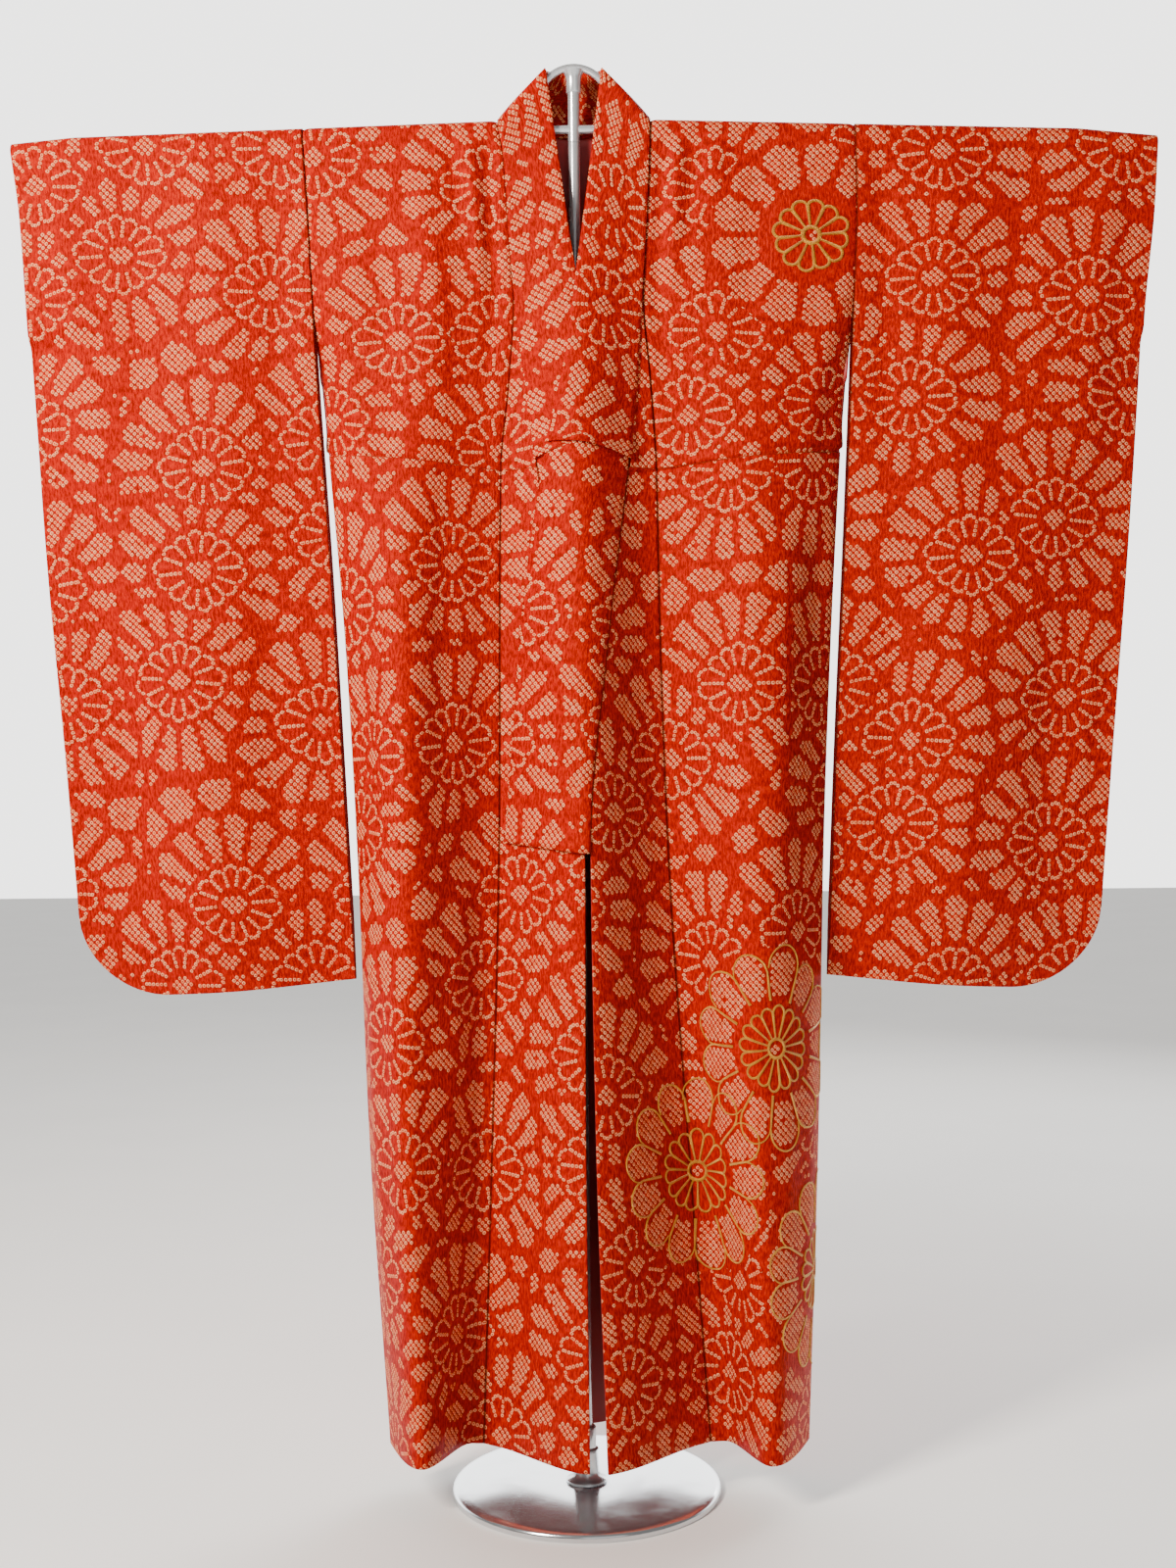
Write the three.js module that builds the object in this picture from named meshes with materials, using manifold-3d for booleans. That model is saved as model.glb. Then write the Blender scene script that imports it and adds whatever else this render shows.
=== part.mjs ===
// Furisode kimono hung open on a T-shaped display stand.
// Millimetres, +Z up, the floor at z = 0, the post on the Z axis, the fronts face -Y.
// Left and right are the wearer's: the left side is +X. Every cloth piece is a wall of even
// thickness, built from a grid of points on its middle surface.

import * as THREE from 'three';
import { mergeVertices } from 'three/addons/utils/BufferGeometryUtils.js';
import Module from 'manifold-3d';

// ---------------------------------------------------------------- driving sizes
const HEM_Z = 60;            // hem above the floor
const BAR_Z = 1620;          // axis of the crossbar at the neck
const NECK_HALF = 90;        // half width of the neck opening on the shoulder
const ARM_SLOPE = 0.0297;    // the arms droop 1.7 degrees
const ARM_END = 598;         // arm tip from the post
const TIP_DROOP = 7;         // cloth beyond the arm tips sinks this much
const TIP_X = 700;           // by this distance from the post
const FOLD_R = 10.2;         // shoulder fold, middle of the cloth, round the arms
const FOLD_STEPS = 6;

const CLOTH_T = 1.4;         // tie-dyed crepe, two plies at the turned edges
const LINING_T = 1.0;
const COLLAR_T = 1.8;        // folded double
const OVER_T = 1.0;
const SEAM = 0.3;            // gap between pieces at a seam

const SLEEVE_SEAM_Z = 1415;  // sleeve joins the body from the shoulder down to here
const SLIT_Z = 1320;         // open side below the sleeve seam ends here
const CUFF_Z = 1390;         // hand opening from the shoulder down to here
const SLEEVE_Z = 596;        // lowest edge of the sleeves
const SLEEVE_RISE = 16;      // the bottom edge climbs this much toward the body
const CORNER_R = 100;        // rounded outer corner of the sleeves
const SLEEVE_BULGE = 9;      // extra half depth in the middle of a sleeve
const BULGE_DROP = 400;      // it is full this far below the shoulder
const SLEEVE_WAVE = 9;       // soft fold of the hanging sleeve
const WAVE_TOP = 1395;       // it starts here, below the sleeve seam
const WAVE_DROP = 500;       // and is full this far below
const WAVE_TURNS = 1.3;      // waves across the sleeve
const WAVE_START = 0.175;
const PINCH = 110;           // a sewn edge closes up over this distance

const OUT_LIFT = 6.0;        // left collar lies this far over the right front
const IN_LIFT = 10.0;        // right collar lies this far behind the left front
const CROSSING_HALF = 35;    // the layers part over at least twice this width
const CROSSING_TOP = 1500;   // above this the two collars stand apart
const COLLAR_END_Z = 760;
const OVER_END_Z = 1225;     // lower ends of the over-collar
const NECK_TOP = 1689;       // top of the collar
const NECK_X = 33;           // half width of the collar's mouth at the top
const NECK_FRONT_Y = -9.5;
const NECK_DEPTH = 39;       // mouth of the collar from front to back
const NECK_BULGE = 6;

// levels, from hem to shoulder, where the cloth changes direction
const LOW_LEVELS = [60, 245, 430, 595, 760, 885, 1010, 1118, 1225, 1320, 1415];
const FRONT_TOP = [1480, 1540, 1590];
const BACK_TOP = [1610, 1540, 1480];
const BACK_LOW = [1415, 1320, 1225, 1010, 755, 500, 280, 60];

// ---------------------------------------------------------------- shape tables
// rows of numbers under named columns
function named(columns, rows) {
  return rows.map((row) => Object.fromEntries(columns.map((column, i) => [column, row[i]])));
}

// front of one side: centre ridge, valley, outer ridge and side edge, as x (outward) and y
const FRONT_COLUMNS = ['z', 'ridge', 'ridgeY', 'valley', 'valleyY', 'lobe', 'lobeY', 'side'];
const FRONT = {
  right: named(FRONT_COLUMNS, [
    [60, -14, -118, 136, -12, 187, -96, 235],
    [430, -10, -104, 118, -12, 196, -88, 257],
    [760, -8, -88, 100, -12, 200, -76, 268],
    [1010, -6, -76, 96, -14, 200, -62, 280],
    [1225, -4, -62, 92, -16, 200, -44, 298],
    [1415, -2, -38, 88, -16, 195, -26, 312],
    [1540, -2, -22, 86, -12, 190, -16, 318],
    [1620, -2, -FOLD_R, 86, -FOLD_R, 190, -FOLD_R, 323],
  ]),
  left: named(FRONT_COLUMNS, [
    [60, 14, -118, 165, -12, 212, -96, 267],
    [430, 10, -104, 135, -12, 208, -86, 282],
    [760, 8, -88, 104, -12, 206, -74, 291],
    [1010, 6, -76, 98, -14, 205, -60, 302],
    [1225, 4, -62, 94, -16, 205, -42, 316],
    [1415, 2, -38, 92, -16, 200, -26, 330],
    [1540, 2, -22, 90, -12, 195, -16, 335],
    [1620, 2, -FOLD_R, 90, -FOLD_R, 195, -FOLD_R, 334],
  ]),
};

// back of both sides: centre seam, inner ridge and outer valley
const BACK = named(['z', 'centreY', 'ridge', 'ridgeY', 'valley', 'valleyY'], [
  [60, 54, 88, 99, 170, 56],
  [500, 44, 92, 74, 182, 45],
  [1010, 35, 96, 48, 200, 34],
  [1225, 27, 98, 34, 205, 27],
  [1415, 20, 98, 22, 205, 19],
  [1610, 12, 98, 11, 205, 10.5],
  [1620, FOLD_R, 98, FOLD_R, 205, FOLD_R],
]);

// half depth of the body at its side edge: open above the slit, closed by the side seam below
const SIDE_DEPTH = [
  { z: 60, y: SEAM / 2 },
  { z: SLIT_Z, y: SEAM / 2 },
  { z: SLEEVE_SEAM_Z, y: 11 },
  { z: 1620, y: FOLD_R },
];

// collar seam and front edge, collar's free edge and overlap seam, outward from the centre
const EDGES = {
  right: [
    { z: 60, seam: -4, overlap: 122 },
    { z: 430, seam: -3, overlap: 108 },
    { z: 760, seam: -5, overlap: 97 },
    { z: 1225, seam: 48, overlap: 90 },
    { z: 1320, seam: 61, overlap: 80 },
    { z: 1415, seam: 72, overlap: 73.5 },
    { z: 1480, seam: 77.5, overlap: 77.5 },
    { z: 1590, seam: 84.5, overlap: 84.5 },
    { z: 1620, seam: NECK_HALF, overlap: NECK_HALF },
  ],
  left: [
    { z: 60, seam: 25, overlap: 148 },
    { z: 430, seam: 15, overlap: 124 },
    { z: 760, seam: 12, overlap: 104 },
    { z: 1010, seam: 35, overlap: 97 },
    { z: 1225, seam: 62, overlap: 94 },
    { z: 1320, seam: 72, overlap: 88 },
    { z: 1415, seam: 78.5, overlap: 80 },
    { z: 1480, seam: 83, overlap: 83 },
    { z: 1590, seam: 89, overlap: 89 },
    { z: 1620, seam: NECK_HALF, overlap: NECK_HALF },
  ],
};

// collar's free edge: x (outward, so negative past the centre) and its rise above the seam point
const FREE = {
  right: [
    { z: 760, free: -107, rise: 12 },
    { z: 1010, free: -80, rise: 14 },
    { z: 1225, free: -42, rise: 18 },
    { z: 1415, free: -1, rise: 26 },
    { z: 1540, free: 19, rise: 44 },
    { z: 1620, free: NECK_X, rise: 69 },
  ],
  left: [
    { z: 760, free: -90, rise: 12 },
    { z: 880, free: -79, rise: 13 },
    { z: 1010, free: -68, rise: 14 },
    { z: 1120, free: -53, rise: 16 },
    { z: 1225, free: -34, rise: 18 },
    { z: 1320, free: -12, rise: 22 },
    { z: 1415, free: 1, rise: 26 },
    { z: 1540, free: 20, rise: 44 },
    { z: 1620, free: NECK_X, rise: 69 },
  ],
};

// sleeves: inner and outer edge, outward from the centre
const SLEEVE = {
  right: [
    { z: 596, inner: 269, outer: 592 },
    { z: 880, inner: 283, outer: 613 },
    { z: 1120, inner: 295, outer: 633 },
    { z: 1320, inner: 307, outer: 645 },
    { z: 1415, inner: 312, outer: 651 },
    { z: 1540, inner: 318, outer: 659 },
    { z: 1620, inner: 323, outer: 669 },
  ],
  left: [
    { z: 596, inner: 292, outer: 612 },
    { z: 880, inner: 305, outer: 635 },
    { z: 1120, inner: 317, outer: 655 },
    { z: 1320, inner: 326, outer: 669 },
    { z: 1415, inner: 330, outer: 675 },
    { z: 1540, inner: 335, outer: 688 },
    { z: 1620, inner: 334, outer: 693 },
  ],
};
const SLEEVE_COLUMNS = [0, 0.18, 0.36, 0.54, 0.7, 0.82, 0.9, 0.96, 0.99, 1];
const SLEEVE_ROWS = [0, 0.06, 0.16, 0.32, 0.52, 0.76];   // from the bottom edge to the sleeve seam

const SIGN = { right: -1, left: 1 };

// ---------------------------------------------------------------- small helpers
const clamp01 = (t) => Math.min(1, Math.max(0, t));
const smooth = (t) => t * t * (3 - 2 * t);
const lerp = (a, b, t) => a + (b - a) * t;
const at = (x, y, z) => new THREE.Vector3(x, y, z);

// value of one column of a table at height z, eased between the rows
function read(table, column, z) {
  if (z <= table[0].z) return table[0][column];
  for (let i = 1; i < table.length; i += 1) {
    if (z <= table[i].z) {
      const t = (z - table[i - 1].z) / (table[i].z - table[i - 1].z);
      return lerp(table[i - 1][column], table[i][column], t);
    }
  }
  return table[table.length - 1][column];
}

// height of the crossbar's axis over x, with the cloth's sag beyond the arm tips
function barZ(x) {
  const past = clamp01((Math.abs(x) - ARM_END) / (TIP_X - ARM_END));
  return BAR_Z - ARM_SLOPE * Math.max(0, Math.abs(x) - NECK_HALF) - TIP_DROOP * past;
}

// real height of a level under the shoulder point x
function levelZ(x, level) {
  return HEM_Z + (barZ(x) - HEM_Z) * (level - HEM_Z) / (BAR_Z - HEM_Z);
}

// the left front crosses over the right one: how far each layer leaves the shared surface at x
function layerY(side, x, level) {
  const right = -read(EDGES.right, 'seam', level);
  const left = read(EDGES.left, 'seam', level);
  const half = Math.max((left - right) / 2, CROSSING_HALF);
  const share = clamp01((x - (left + right) / 2 + half) / (2 * half));
  const fade = clamp01((CROSSING_TOP - level) / (CROSSING_TOP - SLEEVE_SEAM_Z));
  return fade * (side === 'left' ? -OUT_LIFT * (1 - share) : IN_LIFT * share);
}

// depth of the front at x (outward) on one side: ridge, valley, outer ridge, side
function sharedY(side, x, level) {
  const row = (name) => read(FRONT[side], name, level);
  const ridge = row('ridge');
  const valley = row('valley');
  const lobe = row('lobe');
  if (x <= valley) {
    const t = smooth(clamp01(Math.abs(x - ridge) / (valley - ridge)));
    return lerp(row('ridgeY'), row('valleyY'), t);
  }
  if (x <= lobe) return lerp(row('valleyY'), row('lobeY'), smooth((x - valley) / (lobe - valley)));
  const t = clamp01((x - lobe) / (row('side') - lobe));
  return lerp(row('lobeY'), -read(SIDE_DEPTH, 'y', level), 1 - Math.cos(t * Math.PI / 2));
}

// depth of one side's layer at any signed x: the ridge is shared by the two fronts
function layeredY(side, x, level) {
  const under = x < read(FRONT.left, 'ridge', level) ? 'right' : 'left';
  return sharedY(under, x * SIGN[under], level) + layerY(side, x, level);
}

function backY(side, x, level) {
  const row = (name) => read(BACK, name, level);
  if (x <= row('ridge')) return lerp(row('centreY'), row('ridgeY'), smooth(x / row('ridge')));
  if (x <= row('valley')) {
    const t = (x - row('ridge')) / (row('valley') - row('ridge'));
    return lerp(row('ridgeY'), row('valleyY'), smooth(t));
  }
  const t = clamp01((x - row('valley')) / (read(FRONT[side], 'side', level) - row('valley')));
  return lerp(row('valleyY'), read(SIDE_DEPTH, 'y', level), 1 - Math.cos(t * Math.PI / 2));
}

// points at equal arc length along depth(x) from x0 to x1
function evenPoints(depth, x0, x1, steps) {
  const FINE = 160;
  const run = [at(x0, depth(x0), 0)];
  const length = [0];
  for (let i = 1; i <= FINE; i += 1) {
    const x = lerp(x0, x1, i / FINE);
    run.push(at(x, depth(x), 0));
    length.push(length[i - 1] + run[i].distanceTo(run[i - 1]));
  }
  const picked = [];
  for (let k = 0, i = 1; k <= steps; k += 1) {
    const goal = length[FINE] * k / steps;
    while (i < FINE && length[i] < goal) i += 1;
    const t = (goal - length[i - 1]) / (length[i] - length[i - 1]);
    picked.push(run[i - 1].clone().lerp(run[i], clamp01(t)));
  }
  return picked;
}

// ---------------------------------------------------------------- walls from grids
// unit normals of a grid of points: rows of columns
function gridNormals(grid) {
  const last = grid.length - 1;
  return grid.map((row, j) => row.map((point, i) => {
    const along = grid[Math.min(last, j + 1)][i].clone().sub(grid[Math.max(0, j - 1)][i]);
    const across = row[Math.min(row.length - 1, i + 1)].clone().sub(row[Math.max(0, i - 1)]);
    return across.cross(along).normalize();
  }));
}

// closed wall: middle grid moved out by `lift` along its normals, `thick` thick
function wall(grid, normals, thick, lift = 0) {
  const rows = grid.length;
  const columns = grid[0].length;
  const positions = [];
  for (const level of [lift + thick / 2, lift - thick / 2]) {
    grid.forEach((row, j) => row.forEach((point, i) => {
      const moved = point.clone().addScaledVector(normals[j][i], level);
      positions.push(moved.x, moved.y, moved.z);
    }));
  }
  const top = (j, i) => j * columns + i;
  const low = (j, i) => rows * columns + j * columns + i;
  const faces = [];
  const quad = (a, b, c, d) => faces.push(a, b, c, a, c, d);
  for (let j = 0; j < rows - 1; j += 1) {
    for (let i = 0; i < columns - 1; i += 1) {
      quad(top(j, i), top(j, i + 1), top(j + 1, i + 1), top(j + 1, i));
      quad(low(j, i), low(j + 1, i), low(j + 1, i + 1), low(j, i + 1));
    }
  }
  for (let i = 0; i < columns - 1; i += 1) {
    quad(top(0, i), low(0, i), low(0, i + 1), top(0, i + 1));
    quad(top(rows - 1, i + 1), low(rows - 1, i + 1), low(rows - 1, i), top(rows - 1, i));
  }
  for (let j = 0; j < rows - 1; j += 1) {
    quad(top(j + 1, 0), low(j + 1, 0), low(j, 0), top(j, 0));
    quad(top(j, columns - 1), low(j, columns - 1), low(j + 1, columns - 1), top(j + 1, columns - 1));
  }
  const geometry = new THREE.BufferGeometry();
  geometry.setAttribute('position', new THREE.Float32BufferAttribute(positions, 3));
  geometry.setIndex(faces);
  return geometry;
}

// mirror keeps the right side's faces pointing out: its columns run the other way round
function handed(side, row) {
  return side === 'left' ? row : row.slice().reverse();
}

// rows over the shoulder: an arc round the bar from the front (0) to the back (pi)
function foldRow(side, xs) {
  const rows = [];
  for (let k = 0; k <= FOLD_STEPS; k += 1) {
    const angle = Math.PI * k / FOLD_STEPS;
    rows.push(xs.map((x) => at(
      SIGN[side] * x,
      -FOLD_R * Math.cos(angle),
      barZ(x) + FOLD_R * Math.sin(angle),
    )));
  }
  return rows;
}

// ---------------------------------------------------------------- body and overlap panels
const BODY_COLUMNS = 8;
const OVERLAP_COLUMNS = 6;

function spread(x0, x1, steps) {
  return Array.from({ length: steps + 1 }, (_, i) => lerp(x0, x1, i / steps));
}

// one row of the front from x0 to x1 (outward) at a level; the level follows the shoulder
function frontRow(side, x0, x1, level, steps, shoulderX) {
  return evenPoints((x) => layeredY(side, SIGN[side] * x, level), x0, x1, steps).map((p, i) => at(
    SIGN[side] * p.x, p.y, levelZ(shoulderX[i], level)));
}

function backRow(side, level, shoulderX) {
  const x1 = read(FRONT[side], 'side', level) - SEAM / 2;
  return evenPoints((x) => backY(side, x, level), SEAM / 2, x1, BODY_COLUMNS).map((p, i) => at(
    SIGN[side] * p.x, p.y, levelZ(shoulderX[i], level)));
}

// body panel: one cloth from the front hem over the shoulder to the back hem
function bodyGrid(side) {
  const sideX = (level) => read(FRONT[side], 'side', level) - SEAM / 2;
  const shoulderX = spread(NECK_HALF + SEAM / 2, sideX(BAR_Z), BODY_COLUMNS);
  const grid = [];
  for (const level of [...LOW_LEVELS, ...FRONT_TOP]) {
    const inner = read(EDGES[side], 'overlap', level) + SEAM / 2;
    grid.push(frontRow(side, inner, sideX(level), level, BODY_COLUMNS, shoulderX));
  }
  grid.push(...foldRow(side, shoulderX));
  for (const level of [...BACK_TOP, ...BACK_LOW]) grid.push(backRow(side, level, shoulderX));
  return grid;
}

function overlapGrid(side) {
  const shoulderX = spread(NECK_HALF, NECK_HALF, OVERLAP_COLUMNS);
  return LOW_LEVELS.map((level) => frontRow(
    side,
    read(EDGES[side], 'seam', level) + SEAM / 2,
    read(EDGES[side], 'overlap', level) - SEAM / 2,
    level, OVERLAP_COLUMNS, shoulderX));
}

// edges face their neighbours squarely: end to end along the side seam and the centre back seam,
// and toward the sleeve along the sleeve seam
function bodyNormals(side, grid, rows) {
  const normals = gridNormals(grid);
  const edge = side === 'left' ? BODY_COLUMNS : 0;
  const centre = side === 'left' ? 0 : BODY_COLUMNS;
  const firstBack = rows.length - BACK_TOP.length - BACK_LOW.length;
  rows.forEach((level, j) => {
    if (j >= firstBack) normals[j][centre].setX(0).normalize();
    const normal = normals[j][edge];
    if (level <= SLIT_Z) normal.set(SIGN[side], 0, 0);
    if (level >= SLEEVE_SEAM_Z) normal.setX(0).normalize();
  });
  return normals;
}

// the two pieces face each other squarely along the overlap seam
function shareSeam(side, bodyOut, overlapOut) {
  const inner = side === 'left' ? 0 : BODY_COLUMNS;
  const outer = side === 'left' ? OVERLAP_COLUMNS : 0;
  overlapOut.forEach((row, j) => {
    const shared = row[outer].clone().add(bodyOut[j][inner]).normalize();
    row[outer].copy(shared);
    bodyOut[j][inner].copy(shared);
  });
}

const BODY_LEVELS = [
  ...LOW_LEVELS, ...FRONT_TOP,
  ...Array(FOLD_STEPS + 1).fill(BAR_Z),
  ...BACK_TOP, ...BACK_LOW,
];

// ---------------------------------------------------------------- collar
const COLLAR_COLUMNS = 6;
const NECK_STEPS = 3;

// a row of the collar on one front, from its seam to its free edge
function collarFrontRow(side, level) {
  const seam = read(EDGES[side], 'seam', level) - SEAM / 2;
  const free = read(FREE[side], 'free', level);
  const rise = read(FREE[side], 'rise', level);
  return Array.from({ length: COLLAR_COLUMNS + 1 }, (_, i) => {
    const t = i / COLLAR_COLUMNS;
    const x = SIGN[side] * lerp(seam, free, t);
    const z = level + rise * t;
    return at(x, layeredY(side, x, Math.min(lerp(level, z, t), BAR_Z)), z);
  });
}

// rows round the neck, from the shoulder fold to the middle of the back
function collarNeckRows(side, body) {
  const first = LOW_LEVELS.length + FRONT_TOP.length;
  const innerColumn = side === 'left' ? 0 : BODY_COLUMNS;
  const path = [];
  for (let k = 0; k <= FOLD_STEPS; k += 1) path.push(body[first + k][innerColumn].clone());
  const corner = path[FOLD_STEPS];
  const centre = body[first + FOLD_STEPS + 1][innerColumn];
  for (let k = 1; k <= NECK_STEPS; k += 1) path.push(corner.clone().lerp(centre, k / NECK_STEPS));
  path.forEach((p) => { p.x -= SIGN[side] * SEAM; });
  path[path.length - 1].x = 0;
  path.forEach((p, k) => { p.z += k > FOLD_STEPS ? SEAM : 0; });
  return path.map((seam, k) => {
    const turn = k / (path.length - 1);
    const angle = turn * Math.PI / 2;
    const free = at(
      SIGN[side] * NECK_X * Math.cos(angle),
      NECK_FRONT_Y + NECK_DEPTH * Math.sin(angle),
      NECK_TOP);
    const outward = at(SIGN[side] * Math.cos(angle), Math.sin(angle), 0);
    return Array.from({ length: COLLAR_COLUMNS + 1 }, (_, i) => {
      const t = i / COLLAR_COLUMNS;
      const bulge = NECK_BULGE * Math.sin(Math.PI * t) * (1 + Math.sin(angle)) / 2;
      return seam.clone().lerp(free, t).addScaledVector(outward, bulge);
    });
  });
}

// the whole band: up the left front, round the neck, down the right front
function collarGrid(bodies) {
  const levels = [...LOW_LEVELS.filter((level) => level >= COLLAR_END_Z), ...FRONT_TOP];
  const left = levels.map((level) => collarFrontRow('left', level));
  const right = levels.map((level) => collarFrontRow('right', level)).reverse();
  const leftNeck = collarNeckRows('left', bodies.left);
  const rightNeck = collarNeckRows('right', bodies.right).reverse().slice(1);
  return [...left, ...leftNeck, ...rightNeck, ...right].map((row) => row.reverse());
}

// normals along the collar seam of one side, taken from the pieces it is sewn to
function seamNormals(side, overlapOut, bodyOut) {
  const front = side === 'left' ? 0 : OVERLAP_COLUMNS;
  const inner = side === 'left' ? 0 : BODY_COLUMNS;
  const low = LOW_LEVELS.map((level, j) => (level >= COLLAR_END_Z ? overlapOut[j][front] : null));
  const first = LOW_LEVELS.length;
  const last = first + FRONT_TOP.length + FOLD_STEPS;
  const high = bodyOut.slice(first, last + 1).map((row) => row[inner]);
  const corner = bodyOut[last][inner];
  const centre = bodyOut[last + 1][inner];
  const neck = spread(1 / NECK_STEPS, 1, NECK_STEPS - 1).map(
    (t) => corner.clone().lerp(centre, t).normalize());
  return [...low.filter(Boolean), ...high, ...neck];
}

function collarNormals(grid, left, right) {
  const normals = gridNormals(grid);
  left.forEach((normal, j) => normals[j][COLLAR_COLUMNS].copy(normal));
  right.forEach((normal, j) => normals[grid.length - 1 - j][COLLAR_COLUMNS].copy(normal));
  return normals;
}

// ---------------------------------------------------------------- sleeves
// bottom edge of a sleeve at a share u of its width, with the rounded outer corner
function sleeveBottom(side, u) {
  const width = read(SLEEVE[side], 'outer', SLEEVE_Z) - read(SLEEVE[side], 'inner', SLEEVE_Z);
  const fromCuff = (1 - u) * width;
  const base = SLEEVE_Z + SLEEVE_RISE * (1 - u) ** 2;
  if (fromCuff >= CORNER_R) return base;
  return base + CORNER_R - Math.sqrt(CORNER_R ** 2 - (CORNER_R - fromCuff) ** 2);
}

// half depth of the sleeve: closed along the bottom and below the hand opening
function sleeveHalf(side, u, level) {
  const edge = (CLOTH_T + SEAM) / 2;
  const open = read(SIDE_DEPTH, 'y', Math.max(level, SLEEVE_SEAM_Z));
  const full = open + SLEEVE_BULGE * Math.sin(Math.PI * u) * clamp01((BAR_Z - level) / BULGE_DROP);
  const width = read(SLEEVE[side], 'outer', level) - read(SLEEVE[side], 'inner', level);
  const fromBottom = clamp01((level - sleeveBottom(side, u)) / PINCH);
  const fromCuff = level >= CUFF_Z ? 1 : clamp01((1 - u) * width / PINCH);
  const closing = Math.sin(Math.min(fromBottom, fromCuff) * Math.PI / 2);
  return lerp(edge, full, closing);
}

function sleevePoint(side, u, level, face) {
  const x = lerp(read(SLEEVE[side], 'inner', level) + SEAM / 2, read(SLEEVE[side], 'outer', level), u);
  const fade = smooth(clamp01((WAVE_TOP - level) / WAVE_DROP));
  const wave = SLEEVE_WAVE * fade * Math.sin(2 * Math.PI * (WAVE_TURNS * u + WAVE_START));
  return at(SIGN[side] * x, face * sleeveHalf(side, u, level) + wave, levelZ(x, level));
}

// levels of one column: fixed where the sleeve joins the body, spread below
function sleeveLevels(side, u) {
  const bottom = sleeveBottom(side, u);
  return SLEEVE_ROWS.map((share) => lerp(bottom, SLEEVE_SEAM_Z, share));
}

function sleeveGrid(side) {
  const grid = [];
  const lowRow = (k, face) => SLEEVE_COLUMNS.map(
    (u) => sleevePoint(side, u, sleeveLevels(side, u)[k], face));
  const topRow = (level, face) => SLEEVE_COLUMNS.map((u) => sleevePoint(side, u, level, face));
  SLEEVE_ROWS.forEach((_, k) => grid.push(lowRow(k, -1)));
  [SLEEVE_SEAM_Z, ...FRONT_TOP].forEach((level) => grid.push(topRow(level, -1)));
  const inner = read(SLEEVE[side], 'inner', BAR_Z) + SEAM / 2;
  const outer = read(SLEEVE[side], 'outer', BAR_Z);
  grid.push(...foldRow(side, SLEEVE_COLUMNS.map((u) => lerp(inner, outer, u))));
  [...BACK_TOP, SLEEVE_SEAM_Z].forEach((level) => grid.push(topRow(level, 1)));
  [...SLEEVE_ROWS.keys()].reverse().forEach((k) => grid.push(lowRow(k, 1)));
  return grid;
}

// sewn edges close flat, and the joined stretch faces the body squarely
function sleeveNormals(side, grid) {
  const normals = gridNormals(grid);
  const lows = SLEEVE_ROWS.length;
  const rows = grid.length;
  const cuff = side === 'left' ? SLEEVE_COLUMNS.length - 1 : 0;
  const inner = side === 'left' ? 0 : SLEEVE_COLUMNS.length - 1;
  for (let j = 0; j < rows; j += 1) {
    const face = j < rows / 2 ? -1 : 1;
    const low = j < lows || j >= rows - lows;
    if (j === 0 || j === rows - 1) normals[j].forEach((normal) => normal.set(0, face, 0));
    if (low) normals[j][cuff].set(0, face, 0);
    if (!low) normals[j][inner].setX(0).normalize();
  }
  return normals;
}

// ---------------------------------------------------------------- stand
const POST_R = 7;
const BASE_R = 160;
const BASE_T = 10;
const HUB_HALF = 60;
const HUB_R = 8;
const ARM_R = 7.5;
const CAP_L = 5;
const ARCH_R = 42;
const ARCH_TUBE = 4.5;
const ARCH_Z = 1652;         // centre of the arch
const FERRULE_R = 8.75;
const FERRULE_Z = 1663;
const POST_TOP = 1604;
const SOCKET_TOP = 76;

const ROUND = 24;

function cylinder(radius, length) {
  return new THREE.CylinderGeometry(radius, radius, length, ROUND).rotateX(Math.PI / 2);
}

// turned part from a profile of [radius, height] pairs
function turned(profile, steps) {
  const points = profile.map(([r, z]) => new THREE.Vector2(r, z));
  return new THREE.LatheGeometry(points, steps).rotateX(Math.PI / 2);
}

function baseGeometry() {
  return turned([
    [0, 0], [BASE_R, 0], [BASE_R, BASE_T * 0.55], [BASE_R - 2, BASE_T * 0.85],
    [BASE_R - 6, BASE_T], [0, BASE_T],
  ], 48);
}

function socketGeometry() {
  const bore = POST_R + SEAM;
  const low = BASE_T + SEAM;
  return turned([
    [bore, low], [24, low], [24, low + 3], [16, low + 10], [13.5, SOCKET_TOP - 30],
    [13.5, SOCKET_TOP - 26], [11.5, SOCKET_TOP - 24], [11.5, SOCKET_TOP - 2],
    [10.5, SOCKET_TOP], [bore, SOCKET_TOP], [bore, low],
  ], ROUND);
}

function archGeometry() {
  const path = new THREE.CurvePath();
  const foot = BAR_Z;
  path.add(new THREE.LineCurve3(at(-ARCH_R, 0, foot), at(-ARCH_R, 0, ARCH_Z)));
  const crown = [];
  for (let k = 0; k <= 12; k += 1) {
    const angle = Math.PI * (1 - k / 12);
    crown.push(at(ARCH_R * Math.cos(angle), 0, ARCH_Z + ARCH_R * Math.sin(angle)));
  }
  path.add(new THREE.CatmullRomCurve3(crown));
  path.add(new THREE.LineCurve3(at(ARCH_R, 0, ARCH_Z), at(ARCH_R, 0, foot)));
  const ring = new THREE.Shape();
  ring.absarc(0, 0, ARCH_TUBE, 0, Math.PI * 2);
  return new THREE.ExtrudeGeometry(ring, { extrudePath: path, steps: 22, curveSegments: 5 });
}

const wasm = await Module();
wasm.setup();

function solid(geometry) {
  const bare = geometry.clone();
  bare.deleteAttribute('normal');
  bare.deleteAttribute('uv');
  const merged = mergeVertices(bare, 1e-3);
  return new wasm.Manifold(new wasm.Mesh({
    numProp: 3,
    vertProperties: new Float32Array(merged.attributes.position.array),
    triVerts: new Uint32Array(merged.index.array),
  }));
}

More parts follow.
